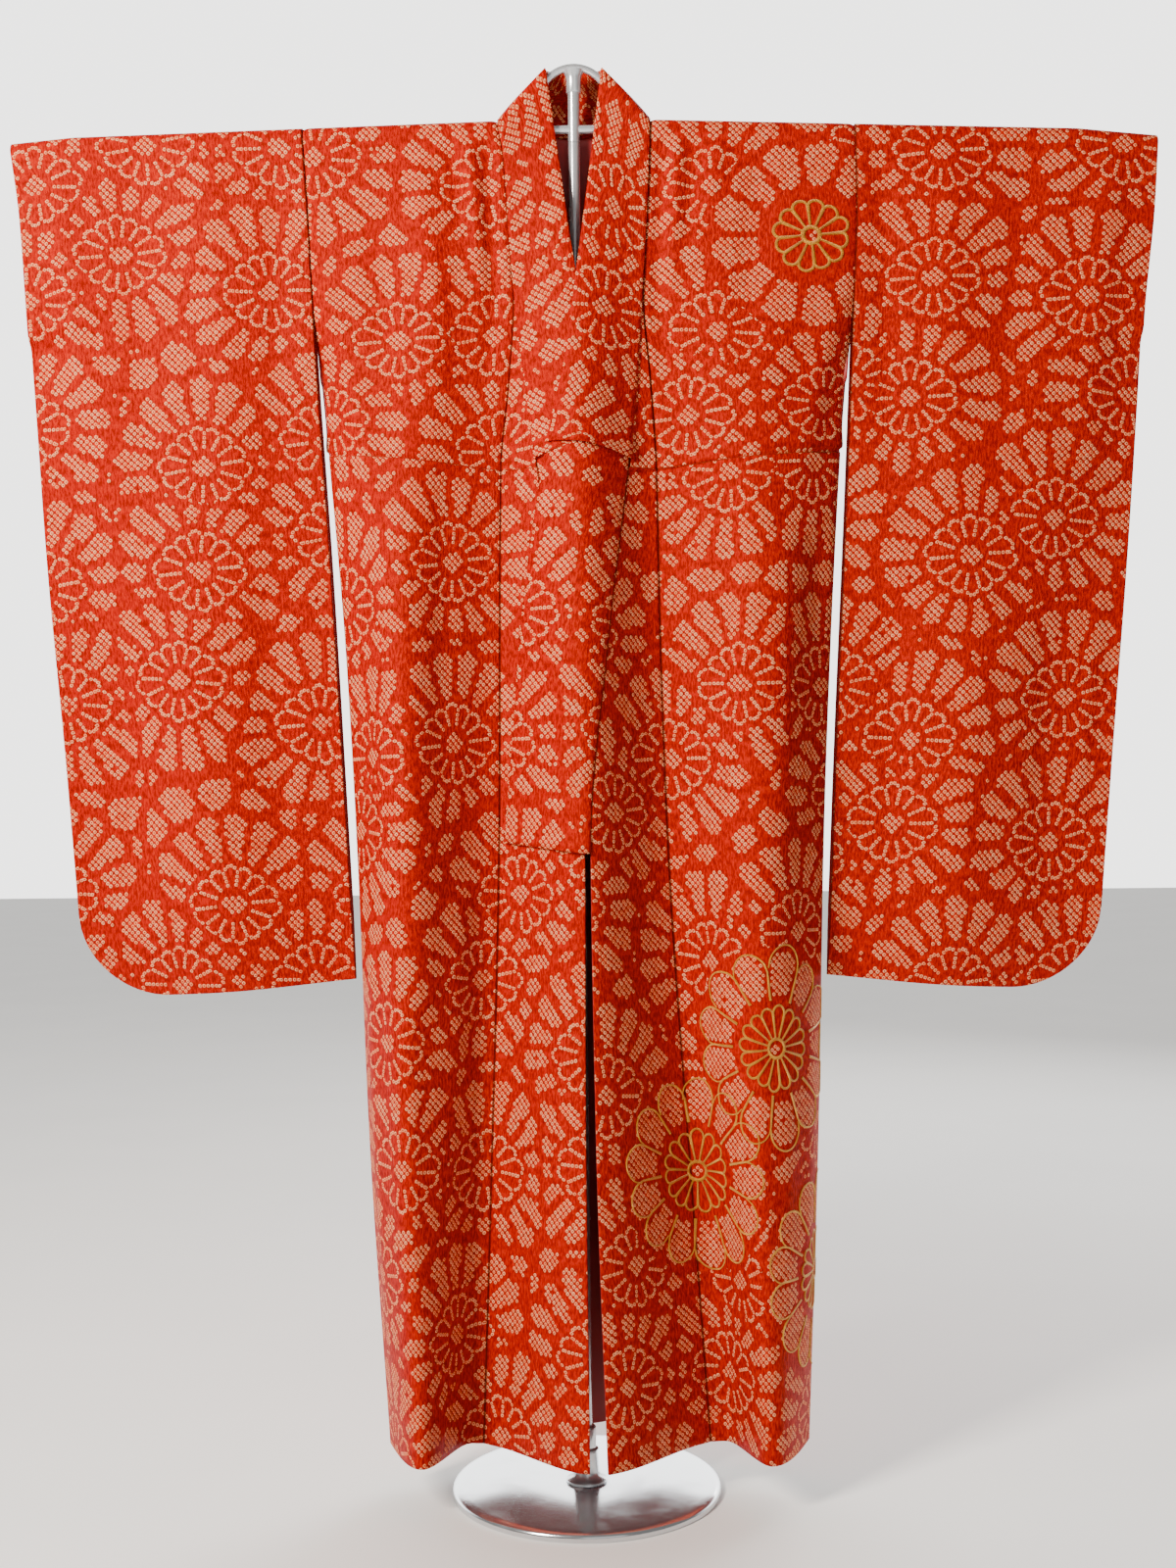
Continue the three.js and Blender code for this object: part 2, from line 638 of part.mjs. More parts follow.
function fromSolid(body) {
  const mesh = body.getMesh();
  const geometry = new THREE.BufferGeometry();
  geometry.setAttribute('position', new THREE.Float32BufferAttribute(mesh.vertProperties, 3));
  geometry.setIndex([...mesh.triVerts]);
  return geometry;
}

// welded head: stub of the post, ferrule, arch and the hub that takes the arms
function headGeometry() {
  const stub = cylinder(POST_R, FERRULE_Z - POST_TOP).translate(0, 0, (FERRULE_Z + POST_TOP) / 2);
  const ferruleTop = ARCH_Z + ARCH_R;
  const ferrule = cylinder(FERRULE_R, ferruleTop - FERRULE_Z)
    .translate(0, 0, (ferruleTop + FERRULE_Z) / 2);
  const hub = cylinder(HUB_R, 2 * HUB_HALF).rotateY(Math.PI / 2).translate(0, 0, BAR_Z);
  const parts = [ferrule, hub, archGeometry()].map(solid);
  return fromSolid(parts.reduce((whole, part) => whole.add(part), solid(stub)));
}

function armGeometry(side) {
  const start = at(SIGN[side] * (HUB_HALF + 2 * SEAM), 0, BAR_Z);
  const end = at(SIGN[side] * (ARM_END - CAP_L), 0, barZ(ARM_END - CAP_L));
  return between(start, end, ARM_R);
}

function capGeometry(side) {
  const start = at(SIGN[side] * (ARM_END - CAP_L + SEAM), 0, barZ(ARM_END - CAP_L));
  return between(start, start.clone().setX(SIGN[side] * ARM_END), ARM_R);
}

function between(start, end, radius) {
  const line = end.clone().sub(start);
  const turn = new THREE.Quaternion().setFromUnitVectors(at(0, 0, 1), line.clone().normalize());
  const middle = start.clone().lerp(end, 0.5);
  return cylinder(radius, line.length()).applyQuaternion(turn).translate(middle.x, middle.y, middle.z);
}

// ---------------------------------------------------------------- assembly
const FINISH = {
  shibori: { color: 0xe2431c, roughness: 0.55, metalness: 0 },
  collarCloth: { color: 0xe85022, roughness: 0.55, metalness: 0 },
  lining: { color: 0x8c0c10, roughness: 0.45, metalness: 0 },
  chrome: { color: 0xc9cccf, roughness: 0.12, metalness: 1 },
};

const kimono = new THREE.Group();

function addPiece(name, geometry, finish) {
  const mesh = new THREE.Mesh(geometry, new THREE.MeshStandardMaterial(FINISH[finish]));
  mesh.name = name;
  kimono.add(mesh);
}

const bodies = {};
const collarSeams = {};
for (const side of ['right', 'left']) {
  const body = bodyGrid(side).map((row) => handed(side, row));
  const bodyOut = bodyNormals(side, body, BODY_LEVELS);
  const overlap = overlapGrid(side).map((row) => handed(side, row));
  const overlapOut = gridNormals(overlap);
  shareSeam(side, bodyOut, overlapOut);
  collarSeams[side] = seamNormals(side, overlapOut, bodyOut);
  const inward = -(CLOTH_T / 2 + SEAM + LINING_T / 2);
  bodies[side] = body;
  addPiece(`body_${side}`, wall(body, bodyOut, CLOTH_T), 'shibori');
  addPiece(`overlap_${side}`, wall(overlap, overlapOut, CLOTH_T), 'shibori');
  addPiece(`lining_body_${side}`, wall(body, bodyOut, LINING_T, inward), 'lining');
  addPiece(`lining_overlap_${side}`, wall(overlap, overlapOut, LINING_T, inward), 'lining');
  const sleeve = sleeveGrid(side).map((row) => handed(side, row));
  addPiece(`sleeve_${side}`, wall(sleeve, sleeveNormals(side, sleeve), CLOTH_T), 'shibori');
}

const collar = collarGrid(bodies);
const collarOut = collarNormals(collar, collarSeams.left, collarSeams.right);
addPiece('collar', wall(collar, collarOut, COLLAR_T), 'collarCloth');
const overRows = LOW_LEVELS.filter((level) => level >= COLLAR_END_Z && level < OVER_END_Z).length;
addPiece('over_collar', wall(
  collar.slice(overRows, -overRows),
  collarOut.slice(overRows, -overRows),
  OVER_T, COLLAR_T / 2 + SEAM + OVER_T / 2), 'collarCloth');

addPiece('stand_base', baseGeometry(), 'chrome');
addPiece('stand_socket', socketGeometry(), 'chrome');
addPiece('stand_post', cylinder(POST_R, POST_TOP - BASE_T - 2 * SEAM)
  .translate(0, 0, (POST_TOP + BASE_T) / 2), 'chrome');
addPiece('stand_head', headGeometry(), 'chrome');
for (const side of ['right', 'left']) {
  addPiece(`stand_arm_${side}`, armGeometry(side), 'chrome');
  addPiece(`stand_cap_${side}`, capGeometry(side), 'chrome');
}

export default kimono;
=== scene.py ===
import math

import bmesh
import bpy
import numpy as np
from mathutils import Matrix, Vector


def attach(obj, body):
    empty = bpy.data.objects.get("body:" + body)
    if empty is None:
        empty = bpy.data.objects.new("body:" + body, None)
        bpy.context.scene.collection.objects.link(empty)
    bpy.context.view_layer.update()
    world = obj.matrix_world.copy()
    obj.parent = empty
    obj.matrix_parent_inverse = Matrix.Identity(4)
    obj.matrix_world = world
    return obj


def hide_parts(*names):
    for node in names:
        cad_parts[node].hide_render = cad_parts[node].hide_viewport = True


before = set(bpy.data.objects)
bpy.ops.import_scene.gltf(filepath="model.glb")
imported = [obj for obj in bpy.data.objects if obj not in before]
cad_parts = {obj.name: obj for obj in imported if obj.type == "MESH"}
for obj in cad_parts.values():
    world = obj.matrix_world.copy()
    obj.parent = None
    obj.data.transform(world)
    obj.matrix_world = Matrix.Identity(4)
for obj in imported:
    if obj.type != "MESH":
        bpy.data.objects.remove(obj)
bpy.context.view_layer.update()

# Furisode kimono hung open on a T-shaped stand. Sizes here are in millimetres and are turned
# into metres when a mesh is made. Left and right are the wearer's: the left side is +X.
MM = 0.001

# ---- driving sizes
HEM_Z = 60.0
BAR_Z = 1620.0             # axis of the crossbar at the neck
NECK_HALF = 90.0           # half width of the neck opening on the shoulder
ARM_SLOPE = 0.0297         # droop of the arms
ARM_END = 598.0            # arm tip from the post
TIP_X, TIP_DROOP = 700.0, 7.0   # cloth past the arm tips sinks this much by this distance
FOLD_R = 10.2              # middle of the cloth round the arms

FRONT_WIDTH, BACK_WIDTH, OVERLAP_WIDTH = 240.0, 300.0, 150.0
OVERLAP_SEEN = 140.0       # usual width of an overlap beside the collar
SLEEVE_WIDTH = 346.0
SLEEVE_SEEN = 340.0        # the same as it hangs, for its creases
CLOTH_T, LINING_T, COLLAR_T, OVER_T = 0.9, 0.5, 1.8, 0.9
SEAM = 0.3                 # gap between pieces at a seam
LINING_DROP = 2.0          # lining, behind the middle of the cloth

SLEEVE_SEAM_Z = 1415.0     # sleeve joins the body from the shoulder down to here
SLIT_Z = 1320.0            # open side below the sleeve seam ends here
CUFF_Z = 1390.0            # hand opening from the shoulder down to here
SLEEVE_Z = 596.0           # lowest edge of the sleeves
SLEEVE_RISE = 16.0         # the bottom edge climbs this much toward the body
CORNER_R = 100.0           # rounded outer corner of the sleeves
SLEEVE_BULGE, BULGE_DROP = 9.0, 400.0     # extra half depth, and full this far down
SLEEVE_WAVE, WAVE_TOP, WAVE_DROP = 9.0, 1395.0, 500.0
WAVE_TURNS, WAVE_START = 1.3, 0.175
PINCH = 110.0              # a sewn edge closes up over this distance

OUT_LIFT, IN_LIFT = 3.4, 6.5    # where the fronts cross, outer layer out and inner layer in
CROSSING_HALF, CROSSING_TOP = 35.0, 1500.0
COLLAR_END_Z, COLLAR_LIFT = 760.0, 2.6
OVER_END_Z, OVER_LIFT = 1225.0, 3.4
LOOSE_LENGTH = 34.0        # the bands stand off the cloth over this length at their ends
NECK_TOP = 1689.0
NECK_STAND = 12.0          # the collar stands this much higher at the back
NECK_X, NECK_FRONT_Y, NECK_DEPTH = 33.0, -9.5, 39.0
NECK_BULGE = 6.0
BACK_NECK_Z = 1610.0

TUCK_Z = 1219.0            # tuck sewn across the body at the waist
TUCK_TILT = 26.0           # it climbs this much toward the side seam
TUCK_DEPTH = 2.6
FRONT_TUCK = {"right": 0.3, "left": 1.0}   # how much of it shows on each front
TUCK_TAKES = 74.0          # cloth swallowed by the tuck
CREASE_GAIN = 1.7          # all creases are this much deeper than their table says
SEAM_DIP, SEAM_DIP_HALF = 2.0, 4.0

SIGN = {"right": -1.0, "left": 1.0}

# ---- shape tables
# front of one side, as x outward from the centre and y: centre ridge, valley, outer ridge, side
FRONT_NAMES = ("z", "ridge", "ridge_y", "valley", "valley_y", "lobe", "lobe_y", "side")
FRONT = {
    "right": [
        FRONT_NAMES,
        (60, -14, -118, 136, -12, 187, -96, 235),
        (430, -10, -104, 118, -12, 196, -88, 257),
        (760, -8, -88, 100, -12, 200, -76, 268),
        (1010, -6, -76, 96, -14, 200, -62, 280),
        (1225, -4, -62, 92, -16, 200, -44, 298),
        (1415, -2, -38, 88, -16, 195, -26, 312),
        (1540, -2, -22, 86, -12, 190, -16, 318),
        (1620, -2, -FOLD_R, 86, -FOLD_R, 190, -FOLD_R, 323),
    ],
    "left": [
        FRONT_NAMES,
        (60, 14, -118, 165, -12, 212, -96, 267),
        (430, 10, -104, 135, -12, 208, -86, 282),
        (760, 8, -88, 104, -12, 206, -74, 291),
        (1010, 6, -76, 98, -14, 205, -60, 302),
        (1225, 4, -62, 94, -16, 205, -42, 316),
        (1415, 2, -38, 92, -16, 200, -26, 330),
        (1540, 2, -22, 90, -12, 195, -16, 335),
        (1620, 2, -FOLD_R, 90, -FOLD_R, 195, -FOLD_R, 334),
    ],
}
BACK = [
    ("z", "centre_y", "ridge", "ridge_y", "valley", "valley_y"),
    (60, 54, 88, 99, 170, 56),
    (500, 44, 92, 74, 182, 45),
    (1010, 35, 96, 48, 200, 34),
    (1225, 27, 98, 34, 205, 27),
    (1415, 20, 98, 22, 205, 19),
    (1610, 12, 98, 11, 205, 10.5),
    (1620, FOLD_R, 98, FOLD_R, 205, FOLD_R),
]
SIDE_DEPTH = [("z", "y"), (60, SEAM / 2), (SLIT_Z, SEAM / 2), (SLEEVE_SEAM_Z, 11), (1620, FOLD_R)]
EDGE_NAMES = ("z", "seam", "overlap")
EDGES = {
    "right": [
        EDGE_NAMES,
        (60, -4, 122), (430, -3, 108), (760, -5, 97), (1225, 48, 90), (1320, 61, 80),
        (1415, 72, 73.5), (1480, 77.5, 77.5), (1590, 84.5, 84.5), (1620, NECK_HALF, NECK_HALF),
    ],
    "left": [
        EDGE_NAMES,
        (60, 25, 148), (430, 15, 124), (760, 12, 104), (1010, 35, 97), (1225, 62, 94),
        (1320, 72, 88), (1415, 78.5, 80), (1480, 83, 83), (1590, 89, 89),
        (1620, NECK_HALF, NECK_HALF),
    ],
}
FREE_NAMES = ("z", "free", "rise")
FREE = {
    "right": [
        FREE_NAMES,
        (760, -107, 12), (1010, -80, 14), (1225, -42, 18), (1415, -1, 26), (1540, 19, 44),
        (1620, NECK_X, 69),
    ],
    "left": [
        FREE_NAMES,
        (760, -90, 12), (880, -79, 13), (1010, -68, 14), (1120, -53, 16), (1225, -34, 18),
        (1320, -12, 22), (1415, 1, 26), (1540, 20, 44), (1620, NECK_X, 69),
    ],
}
SLEEVE_NAMES = ("z", "inner", "outer")
SLEEVE = {
    "right": [
        SLEEVE_NAMES,
        (596, 269, 592), (880, 283, 613), (1120, 295, 633), (1320, 307, 645),
        (1415, 312, 651), (1540, 318, 659), (1620, 323, 669),
    ],
    "left": [
        SLEEVE_NAMES,
        (596, 292, 612), (880, 305, 635), (1120, 317, 655), (1320, 326, 669),
        (1415, 330, 675), (1540, 335, 688), (1620, 334, 693),
    ],
}

# creases laid on the cloth: share of the width and height of each end, half width and depth
BODY_FRONT_CREASES = {
    "right": [
        (0.07, 1618, 0.11, 1330, 9, 3.8), (0.17, 1622, 0.15, 1430, 7, 3.4),
        (0.26, 1618, 0.24, 1480, 8, 2.6), (0.42, 1560, 0.36, 1250, 18, 3.0),
        (0.66, 1500, 0.60, 1180, 22, 3.0), (0.92, 1410, 0.70, 1190, 16, 3.4),
        (0.30, 1190, 0.34, 820, 20, 2.6), (0.58, 1120, 0.52, 640, 24, 3.0),
        (0.80, 1150, 0.84, 760, 20, 2.4), (0.22, 700, 0.26, 300, 18, 2.4),
        (0.46, 560, 0.50, 120, 22, 3.0), (0.84, 640, 0.80, 160, 20, 2.6),
    ],
    "left": [
        (0.05, 1618, 0.07, 1300, 9, 4.0), (0.13, 1622, 0.13, 1420, 7, 3.4),
        (0.22, 1622, 0.20, 1470, 7, 2.8), (0.33, 1620, 0.31, 1520, 8, 2.2),
        (0.52, 1560, 0.46, 1260, 20, 2.4), (0.90, 1405, 0.74, 1200, 18, 3.0),
        (0.36, 1180, 0.32, 860, 20, 2.6), (0.64, 1110, 0.62, 700, 24, 2.8),
        (0.86, 1120, 0.88, 800, 18, 2.4), (0.26, 760, 0.24, 360, 20, 2.4),
        (0.54, 600, 0.56, 150, 22, 2.8), (0.86, 560, 0.82, 130, 20, 2.6),
    ],
}
BODY_BACK_CREASES = {
    "right": [
        (0.12, 1560, 0.10, 1220, 16, 2.6), (0.40, 1600, 0.36, 1330, 18, 2.4),
        (0.74, 1480, 0.64, 1160, 22, 3.0), (0.26, 1160, 0.30, 700, 22, 2.8),
        (0.60, 1000, 0.56, 480, 24, 3.0), (0.18, 560, 0.20, 140, 20, 2.6),
        (0.82, 640, 0.80, 160, 22, 2.6),
    ],
    "left": [
        (0.16, 1540, 0.14, 1250, 16, 2.4), (0.46, 1590, 0.42, 1300, 18, 2.6),
        (0.80, 1450, 0.66, 1170, 22, 2.8), (0.30, 1100, 0.28, 660, 22, 3.0),
        (0.66, 940, 0.62, 420, 24, 2.8), (0.22, 500, 0.24, 120, 20, 2.4),
        (0.86, 700, 0.84, 240, 22, 2.4),
    ],
}
SLEEVE_CREASES = {
    "right": [
        (0.10, 1560, 0.16, 1180, 20, 2.6), (0.34, 1600, 0.32, 1080, 26, 2.4),
        (0.60, 1590, 0.62, 1120, 28, 2.6), (0.86, 1540, 0.80, 1240, 20, 2.4),
        (0.22, 1060, 0.26, 690, 24, 2.8), (0.52, 1000, 0.50, 650, 28, 2.6),
        (0.78, 980, 0.74, 700, 22, 2.4), (0.93, 1160, 0.90, 820, 14, 1.8),
    ],
    "left": [
        (0.08, 1570, 0.14, 1200, 18, 2.8), (0.30, 1600, 0.34, 1140, 26, 2.4),
        (0.56, 1600, 0.52, 1060, 28, 2.4), (0.84, 1560, 0.82, 1200, 22, 2.6),
        (0.18, 1040, 0.22, 680, 22, 2.8), (0.46, 960, 0.44, 640, 26, 2.6),
        (0.74, 1010, 0.76, 720, 24, 2.6), (0.92, 1060, 0.88, 780, 14, 1.8),
    ],
}


# ---- reading the tables
def smooth(t):
    return t * t * (3.0 - 2.0 * t)


def clamp01(t):
    return np.clip(t, 0.0, 1.0)


def lerp(a, b, t):
    return a + (b - a) * t


def unit(v):
    """Vectors along the last axis, at length 1."""
    return v / np.maximum(np.linalg.norm(v, axis=-1, keepdims=True), 1e-9)


def read(table, name, z):
    """One column of a table at heights z, on a smooth curve that never overshoots its rows."""
    rows = np.array(table[1:], float)
    x, y = rows[:, 0], rows[:, table[0].index(name)]
    step = np.diff(x)
    rise = np.diff(y) / step
    slope = np.zeros(len(x))
    same = rise[:-1] * rise[1:] > 0
    safe = np.where(same, rise[:-1] + rise[1:], 1.0)
    slope[1:-1] = np.where(same, 2 * rise[:-1] * rise[1:] / safe, 0.0)
    slope[0], slope[-1] = rise[0], rise[-1]
    z = np.clip(np.asarray(z, float), x[0], x[-1])
    k = np.clip(np.searchsorted(x, z, side="right") - 1, 0, len(step) - 1)
    h = step[k]
    t = (z - x[k]) / h
    return (y[k] * (1 + 2 * t) * (1 - t) ** 2 + y[k + 1] * t * t * (3 - 2 * t)
            + h * (slope[k] * t * (1 - t) ** 2 - slope[k + 1] * t * t * (1 - t)))


def read_row(table, z):
    return {name: read(table, name, z) for name in table[0][1:]}


def part_way(x, start, end):
    return clamp01((x - start) / (end - start))


def bar_z(x):
    past = clamp01((np.abs(x) - ARM_END) / (TIP_X - ARM_END))
    return BAR_Z - ARM_SLOPE * np.maximum(0.0, np.abs(x) - NECK_HALF) - TIP_DROOP * past


def level_z(x, level):
    return HEM_Z + (bar_z(x) - HEM_Z) * (level - HEM_Z) / (BAR_Z - HEM_Z)


def layer_y(side, x, level):
    """How far this side's layer leaves the shared front where the left crosses over the right."""
    right = -read(EDGES["right"], "seam", level)
    left = read(EDGES["left"], "seam", level)
    half = np.maximum((left - right) / 2, CROSSING_HALF)
    share = smooth(clamp01((x - (left + right) / 2 + half) / (2 * half)))
    fade = clamp01((CROSSING_TOP - level) / (CROSSING_TOP - SLEEVE_SEAM_Z))
    return fade * (-OUT_LIFT * (1 - share) if side == "left" else IN_LIFT * share)


def shared_y(side, x, level):
    """Depth of the front at x outward on one side."""
    row = read_row(FRONT[side], level)
    t = smooth(clamp01(np.abs(x - row["ridge"]) / (row["valley"] - row["ridge"])))
    inner = lerp(row["ridge_y"], row["valley_y"], t)
    middle = lerp(row["valley_y"], row["lobe_y"], smooth(part_way(x, row["valley"], row["lobe"])))
    outer = to_side(x, row["lobe"], row["side"], row["lobe_y"], -read(SIDE_DEPTH, "y", level))
    return np.where(x <= row["valley"], inner, np.where(x <= row["lobe"], middle, outer))


def to_side(x, start, side, depth, edge_depth):
    """The cloth turns away from a fold to the side edge as a quarter round."""
    return lerp(depth, edge_depth, 1 - np.cos(part_way(x, start, side) * math.pi / 2))


def front_y(side, x, level):
    """Depth of one side's layer at signed x."""
    split = read(FRONT["left"], "ridge", level)
    shared = np.where(x < split, shared_y("right", -x, level), shared_y("left", x, level))
    return shared + layer_y(side, x, level)


def back_y(side, x, level):
    """Depth of the back at x outward on one side."""
    row = read_row(BACK, level)
    inner = lerp(row["centre_y"], row["ridge_y"], smooth(clamp01(x / row["ridge"])))
    middle = lerp(row["ridge_y"], row["valley_y"],
                  smooth(part_way(x, row["ridge"], row["valley"])))
    outer = to_side(x, row["valley"], read(FRONT[side], "side", level), row["valley_y"],
                    read(SIDE_DEPTH, "y", level))
    return np.where(x <= row["ridge"], inner, np.where(x <= row["valley"], middle, outer))


# ---- grids of cloth points
CELL = 7.0                 # spacing of the cloth grids
EDGE_STEPS = (0.0, 1.6, 4.0)
EDGE_CALM = 14.0           # creases fade out this near to a seam
FOLD_STEPS = 16


def shares(width, cell=CELL):
    """Shares of a width: even, with two extra lines beside each edge for the turned seam."""
    inner = max(2, int(round((width - 16) / cell)))
    marks = [*EDGE_STEPS, *np.linspace(8, width - 8, inner + 1)]
    marks += [width - step for step in reversed(EDGE_STEPS)]
    return np.array(marks) / width


def even_row(depth, x0, x1, marks):
    """Points at the given shares of the arc length of depth(x) from x0 to x1."""
    x = np.linspace(x0, x1, 260)
    y = depth(x)
    run = np.concatenate([[0], np.cumsum(np.hypot(np.diff(x), np.diff(y)))])
    return np.interp(marks * run[-1], run, x), np.interp(marks * run[-1], run, y)


def levels_between(low, high, extra=()):
    count = max(2, int(round((high - low) / CELL)))
    marks = set(np.round(np.linspace(low, high, count + 1), 3)) | set(extra)
    return np.array(sorted(marks))


# cloth measured up to the shoulder line from both sides, so that flowers stand upright
FOLD_ARC = FOLD_R * math.pi * (0.5 - np.abs(np.arange(FOLD_STEPS + 1) / FOLD_STEPS - 0.5))


def fold_rows(side, xs):
    """The cloth over the arm, from front to back."""
    return [np.stack([SIGN[side] * xs, np.full_like(xs, -FOLD_R * math.cos(angle)),
                      bar_z(xs) + FOLD_R * math.sin(angle)], axis=1)
            for angle in math.pi * np.arange(FOLD_STEPS + 1) / FOLD_STEPS]


def normals_of(grid):
    return unit(np.cross(np.gradient(grid, axis=1), np.gradient(grid, axis=0)))


def crease_depth(creases, share, z, width):
    """Summed depth of soft troughs; every second one is a ridge."""
    total = np.zeros_like(z)
    for k, (s0, z0, s1, z1, half, depth) in enumerate(creases):
        dx, dz = (s1 - s0) * width, z1 - z0
        px, pz = (share - s0) * width, z - z0
        t = (px * dx + pz * dz) / (dx * dx + dz * dz)
        off = np.hypot(px - clamp01(t) * dx, pz - clamp01(t) * dz)
        taper = np.sin(math.pi * (0.25 + 0.68 * clamp01(t))) * clamp01((1612.0 - z) / 25.0)
        way = 1.0 if k % 2 else -1.0
        total += way * CREASE_GAIN * depth * np.exp(-(off / half) ** 2) * taper
    return total


def tuck_profile(z, centre):
    """The waist tuck: the cloth above stands out and drops back at the sewn line."""
    above = z - centre
    lip = np.where(above >= 0, np.exp(-(above / 16.0) ** 2), np.exp(-(above / 2.2) ** 2))
    groove = np.exp(-((above + 3.0) / 2.5) ** 2)
    return TUCK_DEPTH * (lip - 0.7 * groove)


def seam_dip(share, width):
    """Sewn edges turn in a little."""
    off = np.minimum(share, 1 - share) * width
    return -SEAM_DIP * np.exp(-(off / SEAM_DIP_HALF) ** 2)


def tuck_shift(share, level):
    return TUCK_TILT * (share - 0.25) * np.exp(-((level - TUCK_Z) / 130.0) ** 2)


class Panel:
    """A grid of points on the middle of a cloth, with its normals and cloth coordinates."""

    def __init__(self, side, points, uv, normals=None):
        self.side = side
        self.points = points
        self.uv = uv
        self.normals = normals_of(points) if normals is None else normals

    def facing_out(self):
        """Rows run the other way on the right side, so that faces point out."""
        self.points, self.uv = as_laid(self.side, self.points), as_laid(self.side, self.uv)
        self.normals = normals_of(self.points)
        return self

    def copy(self):
        return Panel(self.side, self.points.copy(), self.uv.copy(), self.normals.copy())

    def moved(self, amount):
        """Every point goes out along its normal by its own amount."""
        self.points = self.points + self.normals * amount[..., None]
        return self


BODY_MARKS = shares(FRONT_WIDTH)
OVERLAP_MARKS = shares(OVERLAP_SEEN)
TUCK_ROWS = tuple(TUCK_Z + step for step in (-6, -3.5, -2, -1, 0, 1.5, 3, 6))
NECK_ROWS = np.linspace(0, 1, 8)[1:-1]     # from the shoulder fold down to the back's neckline
FRONT_PART, FOLD_PART, BACK_PART = 0, 1, 2


def as_laid(side, values):
    """Values of a grid in the order that facing_out gives its points."""
    return values[:, ::-1] if side == "right" else values


def body_panel(side):
    """One cloth from the front hem over the shoulder to the back hem."""
    side_x = lambda level: read(FRONT[side], "side", level) - SEAM / 2
    shoulder = lerp(NECK_HALF + SEAM / 2, side_x(BAR_Z), BODY_MARKS)

    def face(levels, depth, inner):
        rows = []
        for level in levels:
            x, y = even_row(lambda t: depth(t, level), inner(level), side_x(level), BODY_MARKS)
            z = level_z(shoulder, level + tuck_shift(BODY_MARKS, level))
            rows.append(np.stack([SIGN[side] * x, y, z], axis=1))
        return rows

    front_levels = levels_between(HEM_Z, BAR_Z, TUCK_ROWS)[:-1]
    back_levels = levels_between(HEM_Z, BACK_NECK_Z, TUCK_ROWS)[::-1]
    front = face(front_levels, lambda t, level: front_y(side, SIGN[side] * t, level),
                 lambda level: read(EDGES[side], "overlap", level) + SEAM / 2)
    back = face(back_levels, lambda t, level: back_y(side, t, level), lambda level: SEAM / 2)
    fold = fold_rows(side, shoulder)
    fold += [lerp(fold[-1], back[0], t) for t in NECK_ROWS]
    points = np.array(front + fold + back)
    part = np.repeat([FRONT_PART, FOLD_PART, BACK_PART],
                     [len(front), len(fold), len(back)])[:, None]
    share = np.tile(BODY_MARKS, (len(points), 1))
    z = points[:, :, 2]
    width = np.where(part == BACK_PART, BACK_WIDTH, FRONT_WIDTH)
    taken = TUCK_TAKES * FRONT_TUCK[side]
    up = np.concatenate([
        front_levels + taken * (front_levels >= TUCK_Z),
        BAR_Z + taken + FOLD_ARC,
        lerp(BAR_Z, BACK_NECK_Z, NECK_ROWS) + taken,
        back_levels + taken - TUCK_TAKES * (back_levels < TUCK_Z),
    ]) - HEM_Z
    uv = np.stack([OVERLAP_WIDTH + share * width, np.tile(up[:, None], (1, share.shape[1]))],
                  axis=2)
    panel = Panel(side, points, uv).facing_out()
    out = crease_depth(BODY_FRONT_CREASES[side], share, z, FRONT_WIDTH) * (part == FRONT_PART)
    out += crease_depth(BODY_BACK_CREASES[side], share, z, BACK_WIDTH) * (part == BACK_PART)
    out *= clamp01(np.minimum(share, 1 - share) * FRONT_WIDTH / EDGE_CALM)
    tuck = tuck_profile(z, TUCK_Z + tuck_shift(share, TUCK_Z))
    out += tuck * np.where(part == FRONT_PART, FRONT_TUCK[side], part != FOLD_PART)
    dip = seam_dip(share, FRONT_WIDTH)
    square_edges(panel, part[:, 0])
    plain = panel.copy().moved(as_laid(side, np.minimum(out, 0.0) + dip))
    return panel.moved(as_laid(side, out + dip)), plain, part[:, 0]


def square_edges(panel, part):
    """Edges face their neighbours: along the side seam, the sleeve seam and the back seam."""
    sign = SIGN[panel.side]
    edge, centre = (-1, 0) if panel.side == "left" else (0, -1)
    z = panel.points[:, edge, 2]
    below = (z < SLIT_Z) & (part != FOLD_PART)
    panel.normals[below, edge] = (sign, 0, 0)
    above = z >= SLEEVE_SEAM_Z - 8
    for rows, column in ((above, edge), (part == BACK_PART, centre)):
        flat = panel.normals[rows, column]
        flat[:, 0] = 0
        panel.normals[rows, column] = unit(flat)


